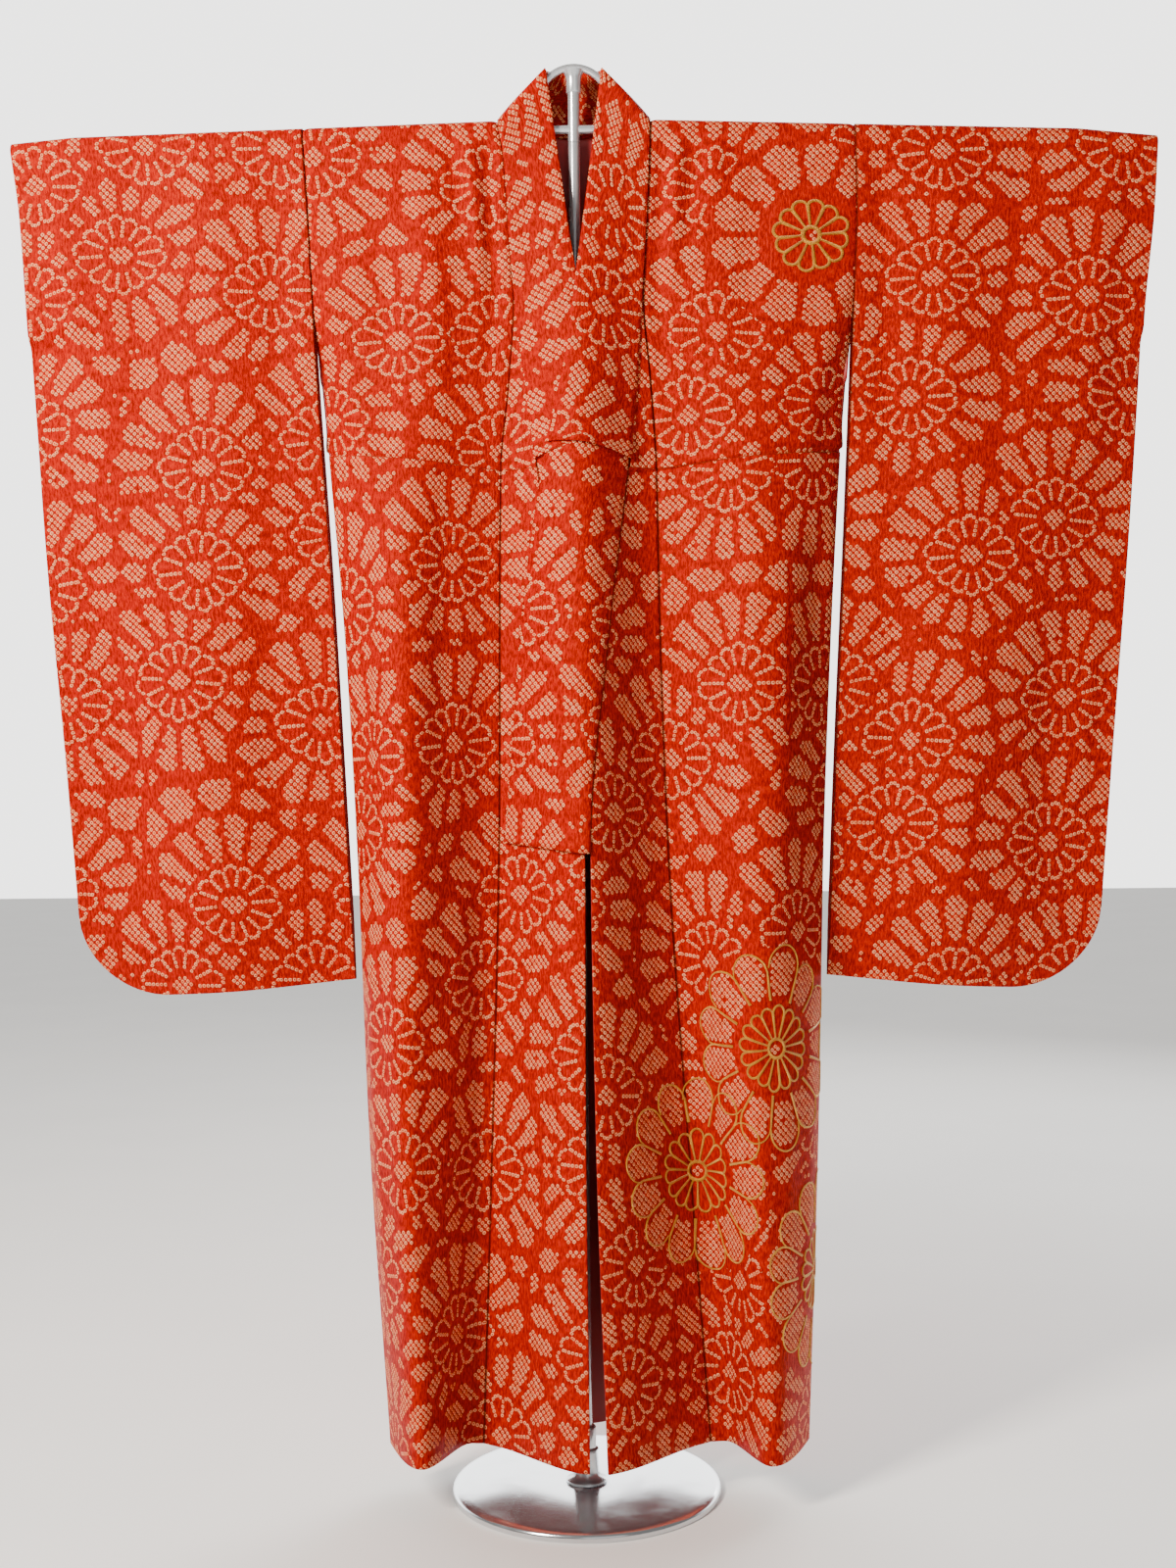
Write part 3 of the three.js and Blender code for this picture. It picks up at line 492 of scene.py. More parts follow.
def overlap_panel(side):
    """The overlap, from the hem up to its point beside the collar."""
    rows = []
    levels = levels_between(HEM_Z, SLEEVE_SEAM_Z, TUCK_ROWS)
    for level in levels:
        inner = read(EDGES[side], "seam", level) + SEAM / 2
        outer = read(EDGES[side], "overlap", level) - SEAM / 2
        x, y = even_row(lambda t: front_y(side, SIGN[side] * t, level), inner, outer,
                        OVERLAP_MARKS)
        z = np.full_like(x, level + tuck_shift(0.0, level))
        rows.append(np.stack([SIGN[side] * x, y, z], axis=1))
    points = np.array(rows)
    run = np.linalg.norm(np.diff(points, axis=1), axis=2).cumsum(axis=1)
    run = np.concatenate([np.zeros((len(points), 1)), run], axis=1)
    across = OVERLAP_WIDTH - (run[:, -1:] - run)
    run_up = levels - HEM_Z + TUCK_TAKES * FRONT_TUCK[side] * (levels >= TUCK_Z)
    uv = np.stack([across, np.tile(run_up[:, None], (1, len(OVERLAP_MARKS)))], axis=2)
    panel = Panel(side, points, uv).facing_out()
    share = np.tile(OVERLAP_MARKS, (len(rows), 1))
    out = tuck_profile(points[:, :, 2], TUCK_Z + tuck_shift(0.0, TUCK_Z)) * FRONT_TUCK[side]
    out = out + seam_dip(share, OVERLAP_SEEN) * (share > 0.5)
    plain = panel.copy()
    return panel.moved(as_laid(side, out)), plain


# ---- collar
COLLAR_CELLS = 16
OVER_ARCH = 4.8            # its ends bow up this much between their corners
OVER_SHIFT = (37.0, 61.0)  # its flowers start elsewhere than the collar's


def collar_rows(side, back_neck):
    """Rows from the collar's end up the front and round the neck to the middle of the back."""
    t = np.linspace(0, 1, COLLAR_CELLS + 1)
    rows = []
    for level in levels_between(COLLAR_END_Z, BAR_Z)[:-1]:
        seam = read(EDGES[side], "seam", level) - SEAM / 2
        free = read(FREE[side], "free", level)
        rise = read(FREE[side], "rise", level)
        x = SIGN[side] * lerp(seam, free, t)
        z = level + rise * t
        y = front_y(side, x, np.minimum(lerp(level, z, t), BAR_Z))
        rows.append(np.stack([x, y, z], axis=1))
    path = [np.array([SIGN[side] * (NECK_HALF - SEAM), -FOLD_R * math.cos(angle),
                      BAR_Z + FOLD_R * math.sin(angle)])
            for angle in math.pi * np.arange(FOLD_STEPS + 1) / FOLD_STEPS]
    centre = np.array([0.0, back_neck[1], back_neck[2] + SEAM])
    path += [lerp(path[-1], centre, k / FOLD_STEPS) for k in range(1, FOLD_STEPS + 1)]
    for k, seam in enumerate(path):
        angle = k / (len(path) - 1) * math.pi / 2
        free = np.array([SIGN[side] * NECK_X * math.cos(angle),
                         NECK_FRONT_Y + NECK_DEPTH * math.sin(angle),
                         NECK_TOP + NECK_STAND * math.sin(angle) ** 2])
        outward = np.array([SIGN[side] * math.cos(angle), math.sin(angle), 0.0])
        bulge = NECK_BULGE * np.sin(math.pi * t) * (1 + math.sin(angle)) / 2
        rows.append(lerp(seam[None], free[None], t[:, None]) + outward * bulge[:, None])
    return rows


def collar_panel(bodies):
    """One band up the left front, round the neck and down the right front."""
    rows = {}
    for side, column in (("left", 0), ("right", -1)):
        panel, _, part = bodies[side]
        first_back = int(np.argmax(part == BACK_PART))
        rows[side] = collar_rows(side, panel.points[first_back, column])
    points = np.array([*rows["left"], *rows["right"][-2::-1]])[:, ::-1]
    seam, free = points[:, -1], points[:, 0]
    length = np.concatenate([[0], np.cumsum(np.linalg.norm(np.diff(seam, axis=0), axis=1))])
    width = np.linalg.norm(seam - free, axis=1)
    t = np.linspace(1, 0, COLLAR_CELLS + 1)
    uv = np.stack([width[:, None] * t[None], np.tile(length[:, None], (1, len(t)))], axis=2)
    panel = Panel("left", points, uv)
    smoothed = panel.normals.copy()
    for _ in range(3):
        smoothed[1:-1] = (smoothed[:-2] + smoothed[1:-1] * 2 + smoothed[2:]) / 4
    panel.normals = unit(smoothed)
    return panel.moved(loose_end(points[:, :, 2], COLLAR_END_Z, COLLAR_LIFT))


def loose_end(z, end, lift):
    """How far the last few centimetres of a band stand off the cloth below."""
    return lift * (1 - smooth(clamp01((z - end) / LOOSE_LENGTH)))


def over_collar_panel(collar):
    """The over-collar keeps to the collar's points between its two ends."""
    z = collar.points[:, -1, 2]
    rows = np.where(z >= OVER_END_Z - 4)[0]
    cut = slice(rows[0], rows[-1] + 1)
    points = collar.points[cut].copy()
    arch = OVER_ARCH * (1 - np.linspace(-1, 1, points.shape[1]) ** 2)
    for row, weight in ((0, 1.0), (1, 0.5), (-1, 1.0), (-2, 0.5)):
        points[row, :, 2] += arch * weight
    panel = Panel("left", points, collar.uv[cut] + OVER_SHIFT, collar.normals[cut].copy())
    return panel.moved(loose_end(points[:, :, 2], OVER_END_Z, OVER_LIFT))


# ---- sleeves
SLEEVE_MARKS = np.unique(np.concatenate([
    shares(330.0), 1 - np.array([0.012, 0.02, 0.035, 0.05, 0.07, 0.09, 0.11])]))


def sleeve_edge(side, name, level):
    return read(SLEEVE[side], name, level)


def sleeve_bottom(side, u):
    """Height of the bottom edge, with its rounded outer corner."""
    width = sleeve_edge(side, "outer", SLEEVE_Z) - sleeve_edge(side, "inner", SLEEVE_Z)
    from_cuff = (1 - u) * width
    base = SLEEVE_Z + SLEEVE_RISE * (1 - u) ** 2
    turn = np.clip(CORNER_R - from_cuff, 0, CORNER_R)
    return base + CORNER_R - np.sqrt(CORNER_R ** 2 - turn ** 2)


def sleeve_half(side, u, level):
    """Half the gap between the sleeve's faces: closed at its bottom and below the cuff."""
    edge = (CLOTH_T + SEAM / 2) / 2
    open_half = read(SIDE_DEPTH, "y", np.maximum(level, SLEEVE_SEAM_Z))
    drop = clamp01((BAR_Z - level) / BULGE_DROP)
    full = open_half + SLEEVE_BULGE * np.sin(math.pi * u) * drop
    width = sleeve_edge(side, "outer", level) - sleeve_edge(side, "inner", level)
    from_bottom = clamp01((level - sleeve_bottom(side, u)) / PINCH)
    opening = smooth(clamp01((level - CUFF_Z + 12) / 24))
    from_cuff = np.maximum(clamp01((1 - u) * width / PINCH), opening)
    closing = np.sin(np.minimum(from_bottom, from_cuff) * math.pi / 2)
    return lerp(edge, full, closing)


def sleeve_row(side, levels, face):
    u = SLEEVE_MARKS
    inner, outer = sleeve_edge(side, "inner", levels), sleeve_edge(side, "outer", levels)
    x = lerp(inner + SEAM / 2, outer, u)
    fade = smooth(clamp01((WAVE_TOP - levels) / WAVE_DROP))
    wave = SLEEVE_WAVE * fade * np.sin(2 * math.pi * (WAVE_TURNS * u + WAVE_START))
    y = face * sleeve_half(side, u, levels) + wave
    return np.stack([SIGN[side] * x, y, level_z(x, levels)], axis=1)


def sleeve_panel(side):
    """One cloth from the front bottom edge over the arm to the back bottom edge."""
    u = SLEEVE_MARKS
    bottom = sleeve_bottom(side, u)
    low_shares = np.concatenate([[0, 0.002, 0.006, 0.012], np.linspace(0.02, 1, 112)])
    low = [lerp(bottom, SLEEVE_SEAM_Z, share) for share in low_shares]
    high = [np.full_like(u, level) for level in levels_between(SLEEVE_SEAM_Z, BAR_Z)[1:-1]]
    span = sleeve_edge(side, "inner", BAR_Z) + SEAM / 2, sleeve_edge(side, "outer", BAR_Z)
    rows = [sleeve_row(side, level, -1) for level in low + high]
    front_count = len(rows)
    rows += fold_rows(side, lerp(span[0], span[1], u))
    back_start = len(rows)
    rows += [sleeve_row(side, level, 1) for level in (low + high)[::-1]]
    points = np.array(rows)
    faces = np.array(low + high)
    up = np.concatenate([faces, BAR_Z + FOLD_ARC[:, None] + 0 * u, faces[::-1]]) - HEM_Z
    uv = np.stack([np.tile(u * SLEEVE_WIDTH, (len(rows), 1)), up], axis=2)
    share = np.tile(u, (len(rows), 1))
    z = points[:, :, 2]
    panel = Panel(side, points, uv).facing_out()
    row = np.arange(len(rows))[:, None]
    flat = (row < front_count) | (row >= back_start)
    out = crease_depth(SLEEVE_CREASES[side], share, z, SLEEVE_SEEN) * flat
    calm = clamp01(share * SLEEVE_SEEN / 20) * clamp01((1 - share) * SLEEVE_SEEN / 40)
    calm = calm * clamp01((z - bottom) / 60)
    lows = len(low)
    cuff, inner = (-1, 0) if side == "left" else (0, -1)
    for j in (*range(lows), *range(len(rows) - lows, len(rows))):
        face = -1.0 if j < front_count else 1.0
        panel.normals[j, cuff] = (0, face, 0)
        if j in (0, len(rows) - 1):
            panel.normals[j, :] = (0, face, 0)
    joined = slice(lows, len(rows) - lows)
    edge = panel.normals[joined, inner]
    edge[:, 0] = 0
    panel.normals[joined, inner] = unit(edge)
    return panel.moved(as_laid(side, out * calm))


# ---- meshes
def build_mesh(name, points, faces, materials, uvs=None, material_index=None):
    """A smooth mesh from points in millimetres; uvs are one for each point, in mm of cloth."""
    mesh = bpy.data.meshes.new(name)
    mesh.from_pydata((np.asarray(points) * MM).tolist(), [], faces)
    if uvs is not None:
        corner = np.zeros(len(mesh.loops), np.int32)
        mesh.loops.foreach_get("vertex_index", corner)
        layer = mesh.uv_layers.new(name="cloth")
        layer.data.foreach_set("uv", (np.asarray(uvs)[corner] * MM).astype(np.float32).ravel())
    for material in materials:
        mesh.materials.append(material)
    if material_index is not None:
        mesh.polygons.foreach_set("material_index", material_index)
    mesh.polygons.foreach_set("use_smooth", [True] * len(mesh.polygons))
    mesh.update()
    piece = bpy.data.objects.new(name, mesh)
    bpy.context.scene.collection.objects.link(piece)
    return piece


def shell(name, panel, thick, materials, lift=0.0, back_row=None):
    """A thin closed cloth: outer and inner sheet with a rounded turned edge between them.

    The second material goes on the inner sheet, or on the outer one from back_row on.
    """
    rows, columns = panel.points.shape[:2]
    outer = panel.points + panel.normals * (lift + thick / 2)
    inner = panel.points + panel.normals * (lift - thick / 2)
    ring = np.concatenate([
        [(0, i) for i in range(columns)],
        [(j, columns - 1) for j in range(1, rows)],
        [(rows - 1, i) for i in range(columns - 2, -1, -1)],
        [(j, 0) for j in range(rows - 2, 0, -1)],
    ])
    middle = panel.points + panel.normals * lift
    inward = middle[np.clip(ring[:, 0], 1, rows - 2), np.clip(ring[:, 1], 1, columns - 2)]
    edge = middle[ring[:, 0], ring[:, 1]]
    rim = edge + unit(edge - inward) * min(thick * 0.35, 0.3)
    count = rows * columns
    points = np.concatenate([outer.reshape(-1, 3), inner.reshape(-1, 3), rim])
    j, i = np.meshgrid(np.arange(rows - 1), np.arange(columns - 1), indexing="ij")
    a = (j * columns + i).ravel()
    b, c, d = a + 1, a + columns + 1, a + columns
    front = np.stack([a, b, c, d], axis=1)
    back = np.stack([a, d, c, b], axis=1) + count
    loop = ring[:, 0] * columns + ring[:, 1]
    nxt = np.roll(loop, -1)
    k = np.arange(len(loop)) + 2 * count
    k_next = np.roll(k, -1)
    upper = np.stack([loop, k, k_next, nxt], axis=1)
    lower = np.stack([k, loop + count, nxt + count, k_next], axis=1)
    faces = np.concatenate([front, back, upper, lower])
    uv = panel.uv.reshape(-1, 2)
    uvs = np.concatenate([uv, uv, uv[loop]])
    index = np.zeros(len(faces), np.int32)
    if back_row is not None:
        index[:len(front)] = (j >= back_row).ravel()
    elif len(materials) > 1:
        index[len(front):len(front) + len(back)] = 1
    return build_mesh(name, points, faces.tolist(), materials, uvs, index)


# ---- node helpers
def colour(red, green, blue):
    """A display colour, 0 to 255, as the linear colour that a shader takes."""
    def channel(v):
        v = v / 255.0
        return v / 12.92 if v <= 0.04045 else ((v + 0.055) / 1.055) ** 2.4
    return (channel(red), channel(green), channel(blue), 1.0)


class Number:
    """A number in a node tree. Arithmetic on it adds Math nodes, and < and > give masks of
    0 and 1, which & and | join."""

    def __init__(self, wiring, socket):
        self.wiring, self.socket = wiring, socket


def give_arithmetic():
    both = {"add": "ADD", "sub": "SUBTRACT", "mul": "MULTIPLY", "truediv": "DIVIDE",
            "pow": "POWER", "lt": "LESS_THAN", "gt": "GREATER_THAN", "and": "MINIMUM",
            "or": "MAXIMUM"}
    for name, operation in both.items():
        setattr(Number, f"__{name}__", lambda a, b, op=operation: a.wiring.math(op, a, b))
    for name in ("sub", "truediv"):
        setattr(Number, f"__r{name}__", lambda a, b, op=both[name]: a.wiring.math(op, b, a))
    for name, operation in (("abs", "ABSOLUTE"), ("floor", "FLOOR"), ("round", "ROUND")):
        setattr(Number, f"__{name}__", lambda a, op=operation: a.wiring.math(op, a))


give_arithmetic()


class Wiring:
    """Short ways to add nodes to one tree."""

    def __init__(self, tree):
        self.tree = tree

    def node(self, kind, values=(), **settings):
        """A node with its settings, and with values put in or linked to its inputs."""
        made = self.tree.nodes.new(kind)
        for key, value in settings.items():
            setattr(made, key, value)
        for key, value in dict(values).items():
            self.link(value, made.inputs[key])
        return made

    def link(self, source, target):
        source = getattr(source, "socket", source)
        if hasattr(source, "links"):
            self.tree.links.new(source, target)
        else:
            target.default_value = source

    def number(self, socket):
        return Number(self, socket)

    def math(self, operation, *values):
        made = self.node("ShaderNodeMath", enumerate(values), operation=operation)
        return self.number(made.outputs[0])

    def step(self, value, low, high, out_low=0.0, out_high=1.0):
        made = self.node("ShaderNodeMapRange", {
            "Value": value, "From Min": low, "From Max": high, "To Min": out_low,
            "To Max": out_high}, interpolation_type="SMOOTHSTEP")
        return self.number(made.outputs["Result"])

    def split(self, vector):
        made = self.node("ShaderNodeSeparateXYZ", {0: vector})
        return [self.number(socket) for socket in made.outputs]

    def join(self, x, y):
        return self.node("ShaderNodeCombineXYZ", {0: x, 1: y}).outputs[0]

    def noise(self, vector, scale, detail=2.0, rough=0.5):
        made = self.node("ShaderNodeTexNoise", {
            "Vector": vector, "Scale": scale, "Detail": detail, "Roughness": rough})
        return self.number(made.outputs["Fac"])

    def pick(self, mask, otherwise, chosen):
        """The number chosen where the mask is 1, and otherwise where it is 0."""
        made = self.node("ShaderNodeMix", {0: mask, 2: otherwise, 3: chosen}, data_type="FLOAT")
        return self.number(made.outputs[0])

    def mix(self, factor, a, b):
        return self.node("ShaderNodeMix", {0: factor, 6: a, 7: b}, data_type="RGBA").outputs[2]


def new_group(name, inputs, outputs):
    """A shader node group; inputs are (name, kind, value), outputs are (name, kind)."""
    tree = bpy.data.node_groups.new(name, "ShaderNodeTree")
    for label, kind, value in inputs:
        socket = tree.interface.new_socket(label, in_out="INPUT", socket_type=kind)
        if value is not None:
            socket.default_value = value
    for label, kind in outputs:
        tree.interface.new_socket(label, in_out="OUTPUT", socket_type=kind)
    wires = Wiring(tree)
    return wires, wires.node("NodeGroupInput"), wires.node("NodeGroupOutput")


FLOAT, VECTOR, COLOUR = "NodeSocketFloat", "NodeSocketVector", "NodeSocketColor"


# ---- tie-dyed flowers
# flowers outlined in gold on the left front: middle (across, up) in mm of cloth
SEWN_FLOWERS = {"A": (290.0, 474.0), "B": (158.0, 320.0), "C": (381.0, 204.0),
                "D": (338.0, 1506.0)}
SEWN_REACH = 117.0
SEWN_PETALS = 13

# sizes of the drawing in metres of cloth
RIM_DOTS = 5               # dots round each scallop of the inner flower
DRIFT = 0.005              # the whole drawing wanders this much
DOT_STRAY = 0.12           # share of the pitch that a dot strays
SECOND_RING = 0.112        # petals beyond this radius sit between those before them
PETAL_FROM, PETAL_GAP, PETAL_END, PETAL_BOW = 0.0605, 0.0043, 0.0034, 0.013
RIM_RADIUS, RIM_BOW = 0.0520, 0.0080
SPOKE_FROM, SPOKE_TO = 0.0195, 0.0425
DOT_RADIUS, DOT_SOFT = 0.00198, 0.00028
EYE_RADIUS, EYE_SOFT = 0.00112, 0.00062
ROUND_POWER, LOZENGE_POWER = 2.6, 1.5      # 2 is round, less is pointed and more is square


def nearest_sewn(w, given, place):
    """Distance to the nearest sewn flower, its middle, and the distance to the next one."""
    nearest, middle, second = None, None, None
    for label in SEWN_FLOWERS:
        at = given.outputs["Sewn Flower " + label]
        gap = w.number(w.node("ShaderNodeVectorMath", {0: place, 1: at},
                              operation="DISTANCE").outputs["Value"])
        if nearest is None:
            nearest, middle, second = gap, at, 9.0
            continue
        second = w.math("MINIMUM", second, gap | nearest)
        middle = w.node("ShaderNodeMix", {0: gap < nearest, 4: middle, 5: at},
                        data_type="VECTOR").outputs[1]
        nearest = gap & nearest
    return nearest, middle, second


def tied_flowers_group():
    """Hand-tied dots on a slanting lattice, gathered into chrysanthemums.

    Every dot is whole: the flower drawing is looked up at the middle of each lattice cell.
    """
    sizes = {"Row Pitch": 0.0059, "Dot Pitch": 0.0052, "Flower Spacing": 0.170,
             "Petals": 17.0, "Inner Petals": 14.0}
    w, given, out = new_group(
        "tied_flowers",
        [("Vector", VECTOR, None), *[(name, FLOAT, value) for name, value in sizes.items()],
         *[("Sewn Flower " + label, VECTOR, (-9.0, -9.0, 0.0)) for label in SEWN_FLOWERS]],
        [("Dots", FLOAT), ("Eyes", FLOAT), ("Height", FLOAT), ("Tint", FLOAT)])
    row_pitch, dot_pitch, spacing, petals, inner = (
        w.number(given.outputs[name]) for name in sizes)
    x, y, _ = w.split(given.outputs["Vector"])
    drift = w.node("ShaderNodeTexNoise", {"Vector": given.outputs["Vector"], "Scale": 16.0,
                                          "Detail": 1.0})
    drift_x, drift_y, _ = w.split(drift.outputs["Color"])
    x = x + (drift_x - 0.5) * DRIFT
    y = y + (drift_y - 0.5) * DRIFT
    turn = 1.0 / math.sqrt(2.0)
    a = (x + y) * turn / row_pitch
    b = (y - x) * turn / dot_pitch
    cell_a, cell_b = math.floor(a), math.floor(b)
    chance = w.node("ShaderNodeTexWhiteNoise", {"Vector": w.join(cell_a, cell_b)},
                    noise_dimensions="2D")
    luck_x, luck_y, _ = w.split(chance.outputs["Color"])
    luck = w.number(chance.outputs["Value"])
    near_a = (a - cell_a - 0.5 + (luck_x - 0.5) * DOT_STRAY) * row_pitch
    near_b = (b - cell_b - 0.5 + (luck_y - 0.5) * DOT_STRAY) * dot_pitch
    at_a = (cell_a + 0.5) * row_pitch * turn
    at_b = (cell_b + 0.5) * dot_pitch * turn
    mid_x, mid_y = at_a - at_b, at_a + at_b

    # the flower whose cell this dot lies in; its middle sits low, so that it fans upward
    place = w.join(mid_x, mid_y)
    nearest, edge = (
        w.node("ShaderNodeTexVoronoi", {"Vector": place, "Scale": 1.0 / spacing,
                                        "Randomness": 0.60},
               voronoi_dimensions="2D", feature=feature)
        for feature in ("F1", "DISTANCE_TO_EDGE"))
    centre_x, centre_y, _ = w.split(nearest.outputs["Position"])
    centre_y = centre_y - 0.019
    border = w.number(edge.outputs["Distance"]) * spacing
    sewn_gap, sewn_middle, sewn_next = nearest_sewn(w, given, place)
    reach = SEWN_REACH * MM
    sewn = sewn_gap < reach
    sewn_x, sewn_y, _ = w.split(sewn_middle)
    sewn_border = (reach - sewn_gap) & ((sewn_next - sewn_gap) * 0.5)
    border = w.pick(sewn, border & (sewn_gap - reach), sewn_border)
    middle_x, middle_y = w.pick(sewn, centre_x, sewn_x), w.pick(sewn, centre_y, sewn_y)
    spin = w.pick(sewn, w.split(nearest.outputs["Color"])[0] * 6.28, 0.0)

    def spread(across, up, power):
        """Distance whose outline is round, pointed or square by its power."""
        return (abs(across) ** power + abs(up) ** power) ** (1.0 / power)

    def from_middle(at_x, at_y):
        """Round radius, lozenge-shaped radius and angle about the flower's middle."""
        dx, dy = at_x - middle_x, at_y - middle_y
        circle = w.math("SQRT", dx * dx + dy * dy)
        return (circle, spread(dx * 0.91, dy * 1.10, LOZENGE_POWER),
                w.math("ARCTAN2", dy, dx) + spin)

    # long outer petals and the heart, in lattice dots
    circle, lozenge, angle = from_middle(mid_x, mid_y)
    radius = w.pick(sewn, lozenge, circle)
    count = w.pick(sewn, petals, float(SEWN_PETALS))
    behind = (circle > SECOND_RING) & (1.0 - sewn)
    overlap = abs(circle - SECOND_RING) + sewn
    part = angle * count / (2 * math.pi) + behind * 0.5
    off = abs(part - round(part)) * 2.0
    side_gap = (1.0 - off) * (circle * math.pi / count)
    bow = off * off
    outer = ((side_gap > PETAL_GAP) & (radius > bow * 0.004 + PETAL_FROM)
             & ((border & overlap) > bow * PETAL_BOW + PETAL_END))
    heart = (radius < w.pick(sewn, 0.0130, 0.0065)) & (border > 0.0015)
    kept = (outer | heart) & (luck > 0.006)
    lattice = spread(near_a, near_b, ROUND_POWER) + (1.0 - kept)

    # the lacy inner flower: one chain of dots round its scalloped rim and one up each spoke
    circle, radius, angle = from_middle(x, y)
    bead = 2 * math.pi / RIM_DOTS
    around = angle * inner / bead
    cell = math.floor(around)
    lobe = (cell + 0.5) / float(RIM_DOTS)
    lobe = abs(lobe - round(lobe)) * 2.0
    rim = RIM_RADIUS - lobe * lobe * RIM_BOW
    stretch = circle / (radius | 0.001)
    rim_dots = spread((around - cell - 0.5) * (circle * bead / inner), (radius - rim) * stretch,
                      ROUND_POWER)
    spoke = angle * inner / (2 * math.pi)
    across = (spoke - math.floor(spoke) - 0.5) * (circle * (2 * math.pi) / inner)
    middle = (math.floor(circle / dot_pitch) + 0.5) * dot_pitch
    short = (middle < SPOKE_FROM) | (middle / stretch > SPOKE_TO)
    lacy = rim_dots & (spread(circle - middle, across, ROUND_POWER) + short)
    size = lattice & (lacy + (sewn | (border < 0.0020)))

    ring = luck_x * 0.00028 + DOT_RADIUS
    disc = w.step(size, ring + DOT_SOFT, ring - DOT_SOFT)
    eye = w.step(size, EYE_RADIUS, EYE_SOFT)
    bulge = size / 0.0026
    for name, value in (("Dots", disc), ("Eyes", eye), ("Tint", luck_y),
                        ("Height", disc * (1.0 - bulge * bulge) - eye * 0.4)):
        w.link(value, out.inputs[name])
    return w.tree


def crepe_group():
    """Crinkle of the tied crepe: short upright wrinkles and a fine thread grain."""
    w, given, out = new_group(
        "crinkled_crepe", [("Vector", VECTOR, None)], [("Crinkle", FLOAT), ("Thread", FLOAT)])
    x, y, _ = w.split(given.outputs["Vector"])
    w.link(w.noise(w.join(x, y * 0.28), 420.0, 3.0, 0.62), out.inputs["Crinkle"])
    w.link(w.noise(w.join(x * 3.0, y), 900.0, 1.0), out.inputs["Thread"])
    return w.tree


def new_material(name, **values):
    """A material whose shader has these plain values, with _ for the spaces in their names."""
    material = bpy.data.materials.new(name)
    material.use_nodes = True
    material.node_tree.nodes.clear()
    w = Wiring(material.node_tree)
    surface = w.node("ShaderNodeBsdfPrincipled",
                     {key.replace("_", " "): value for key, value in values.items()})
    w.node("ShaderNodeOutputMaterial", {0: surface.outputs[0]})
    return material, w, surface


def cloth_coordinates(w, shift=(0.0, 0.0), way=1.0):
    """Metres across and up the cloth; way -1 turns its slanting rows the other way."""
    uv = w.node("ShaderNodeUVMap", uv_map="cloth")
    return w.node("ShaderNodeMapping", {"Vector": uv.outputs[0], "Location": (*shift, 0.0),
                                        "Scale": (way, 1.0, 1.0)}).outputs[0]


def add_bump(w, surface, *layers):
    """Stacks bumps: layers are (height, distance in metres, strength)."""
    below = {}
    for height, distance, strength in layers:
        bump = w.node("ShaderNodeBump", {"Strength": strength, "Distance": distance,
                                         "Height": height, **below})
        below = {"Normal": bump.outputs[0]}
    w.link(below["Normal"], surface.inputs["Normal"])


def linear(red, green, blue):
    return (red, green, blue, 1.0)


GROUND = linear(0.44, 0.0020, 0.0)
# painted light on the crepe: lighter orange highlight on the crinkle crests, darker red shade in
# the crinkle troughs
CRINKLE_CREST_HIGHLIGHT = linear(0.54, 0.020, 0.0)
CRINKLE_TROUGH_SHADE = linear(0.22, 0.0, 0.0)
DOT_PALE = linear(0.96, 0.40, 0.20)
DOT_ROSE = linear(0.92, 0.23, 0.08)
EYE_DARK = linear(0.34, 0.004, 0.0)
# painted shadow along the seams
SEAM_PAINTED_SHADOW = linear(0.06, 0.001, 0.0)


def tied_silk(name, shift, way=1.0, sewn=None, seam=0.0):
    """Red-orange silk crepe with pale tied dots, painted shade and highlight on its crinkle, and a
    painted shadow along the seam.
    """
    material, w, surface = new_material("tied_silk_" + name, Specular_IOR_Level=0.16,
                                        Specular_Tint=(1.0, 0.28, 0.08, 1.0))
    cloth = cloth_coordinates(w, shift, way)
    drawing = w.node("ShaderNodeGroup", node_tree=FLOWERS)
    w.link(cloth, drawing.inputs["Vector"])
    for label, at in (sewn or {}).items():
        drawing.inputs["Sewn Flower " + label].default_value = (
            at[0] * MM + shift[0], at[1] * MM + shift[1], 0.0)
    crepe = w.node("ShaderNodeGroup", node_tree=CREPE)
    w.link(cloth, crepe.inputs["Vector"])
    crinkle = crepe.outputs["Crinkle"]
    dots, eyes = (w.number(drawing.outputs[key]) for key in ("Dots", "Eyes"))
    patches = w.noise(cloth, 7.0, 3.0, 0.55)
    # painted shade in the crinkle troughs and painted highlight on the crests, in patches,
    # following the crinkle that also bumps the cloth
    ground = w.mix(w.step(crinkle, 0.36, 0.60), CRINKLE_TROUGH_SHADE, GROUND)
    crest_highlight = w.step(crinkle, 0.48, 0.72) * w.step(patches, 0.30, 0.75, 0.35, 1.0)
    ground = w.mix(crest_highlight, ground, CRINKLE_CREST_HIGHLIGHT)
    pale = w.mix(w.step(drawing.outputs["Tint"], 0.0, 1.0, 0.0, 0.8), DOT_PALE, DOT_ROSE)
    skin = w.mix(dots * 0.97, ground, pale)
    skin = w.mix(eyes * 0.9, skin, EYE_DARK)
    # painted shadow: a dark line within about 2 mm of the seam, where the cloth turns in
    beside = abs(w.split(cloth)[0] - (seam * MM * way + shift[0]))
    skin = w.mix(w.step(beside, 0.0019, 0.0005, 0.0, 0.8), skin, SEAM_PAINTED_SHADOW)
    w.link(skin, surface.inputs["Base Color"])
    w.link(w.step(crinkle, 0.35, 0.75, 0.60, 0.42) + dots * 0.15, surface.inputs["Roughness"])
    add_bump(w, surface, (crinkle, 0.0016, 0.85), (drawing.outputs["Height"], 0.0012, 0.9),
             (crepe.outputs["Thread"], 0.0002, 0.35))
    return material


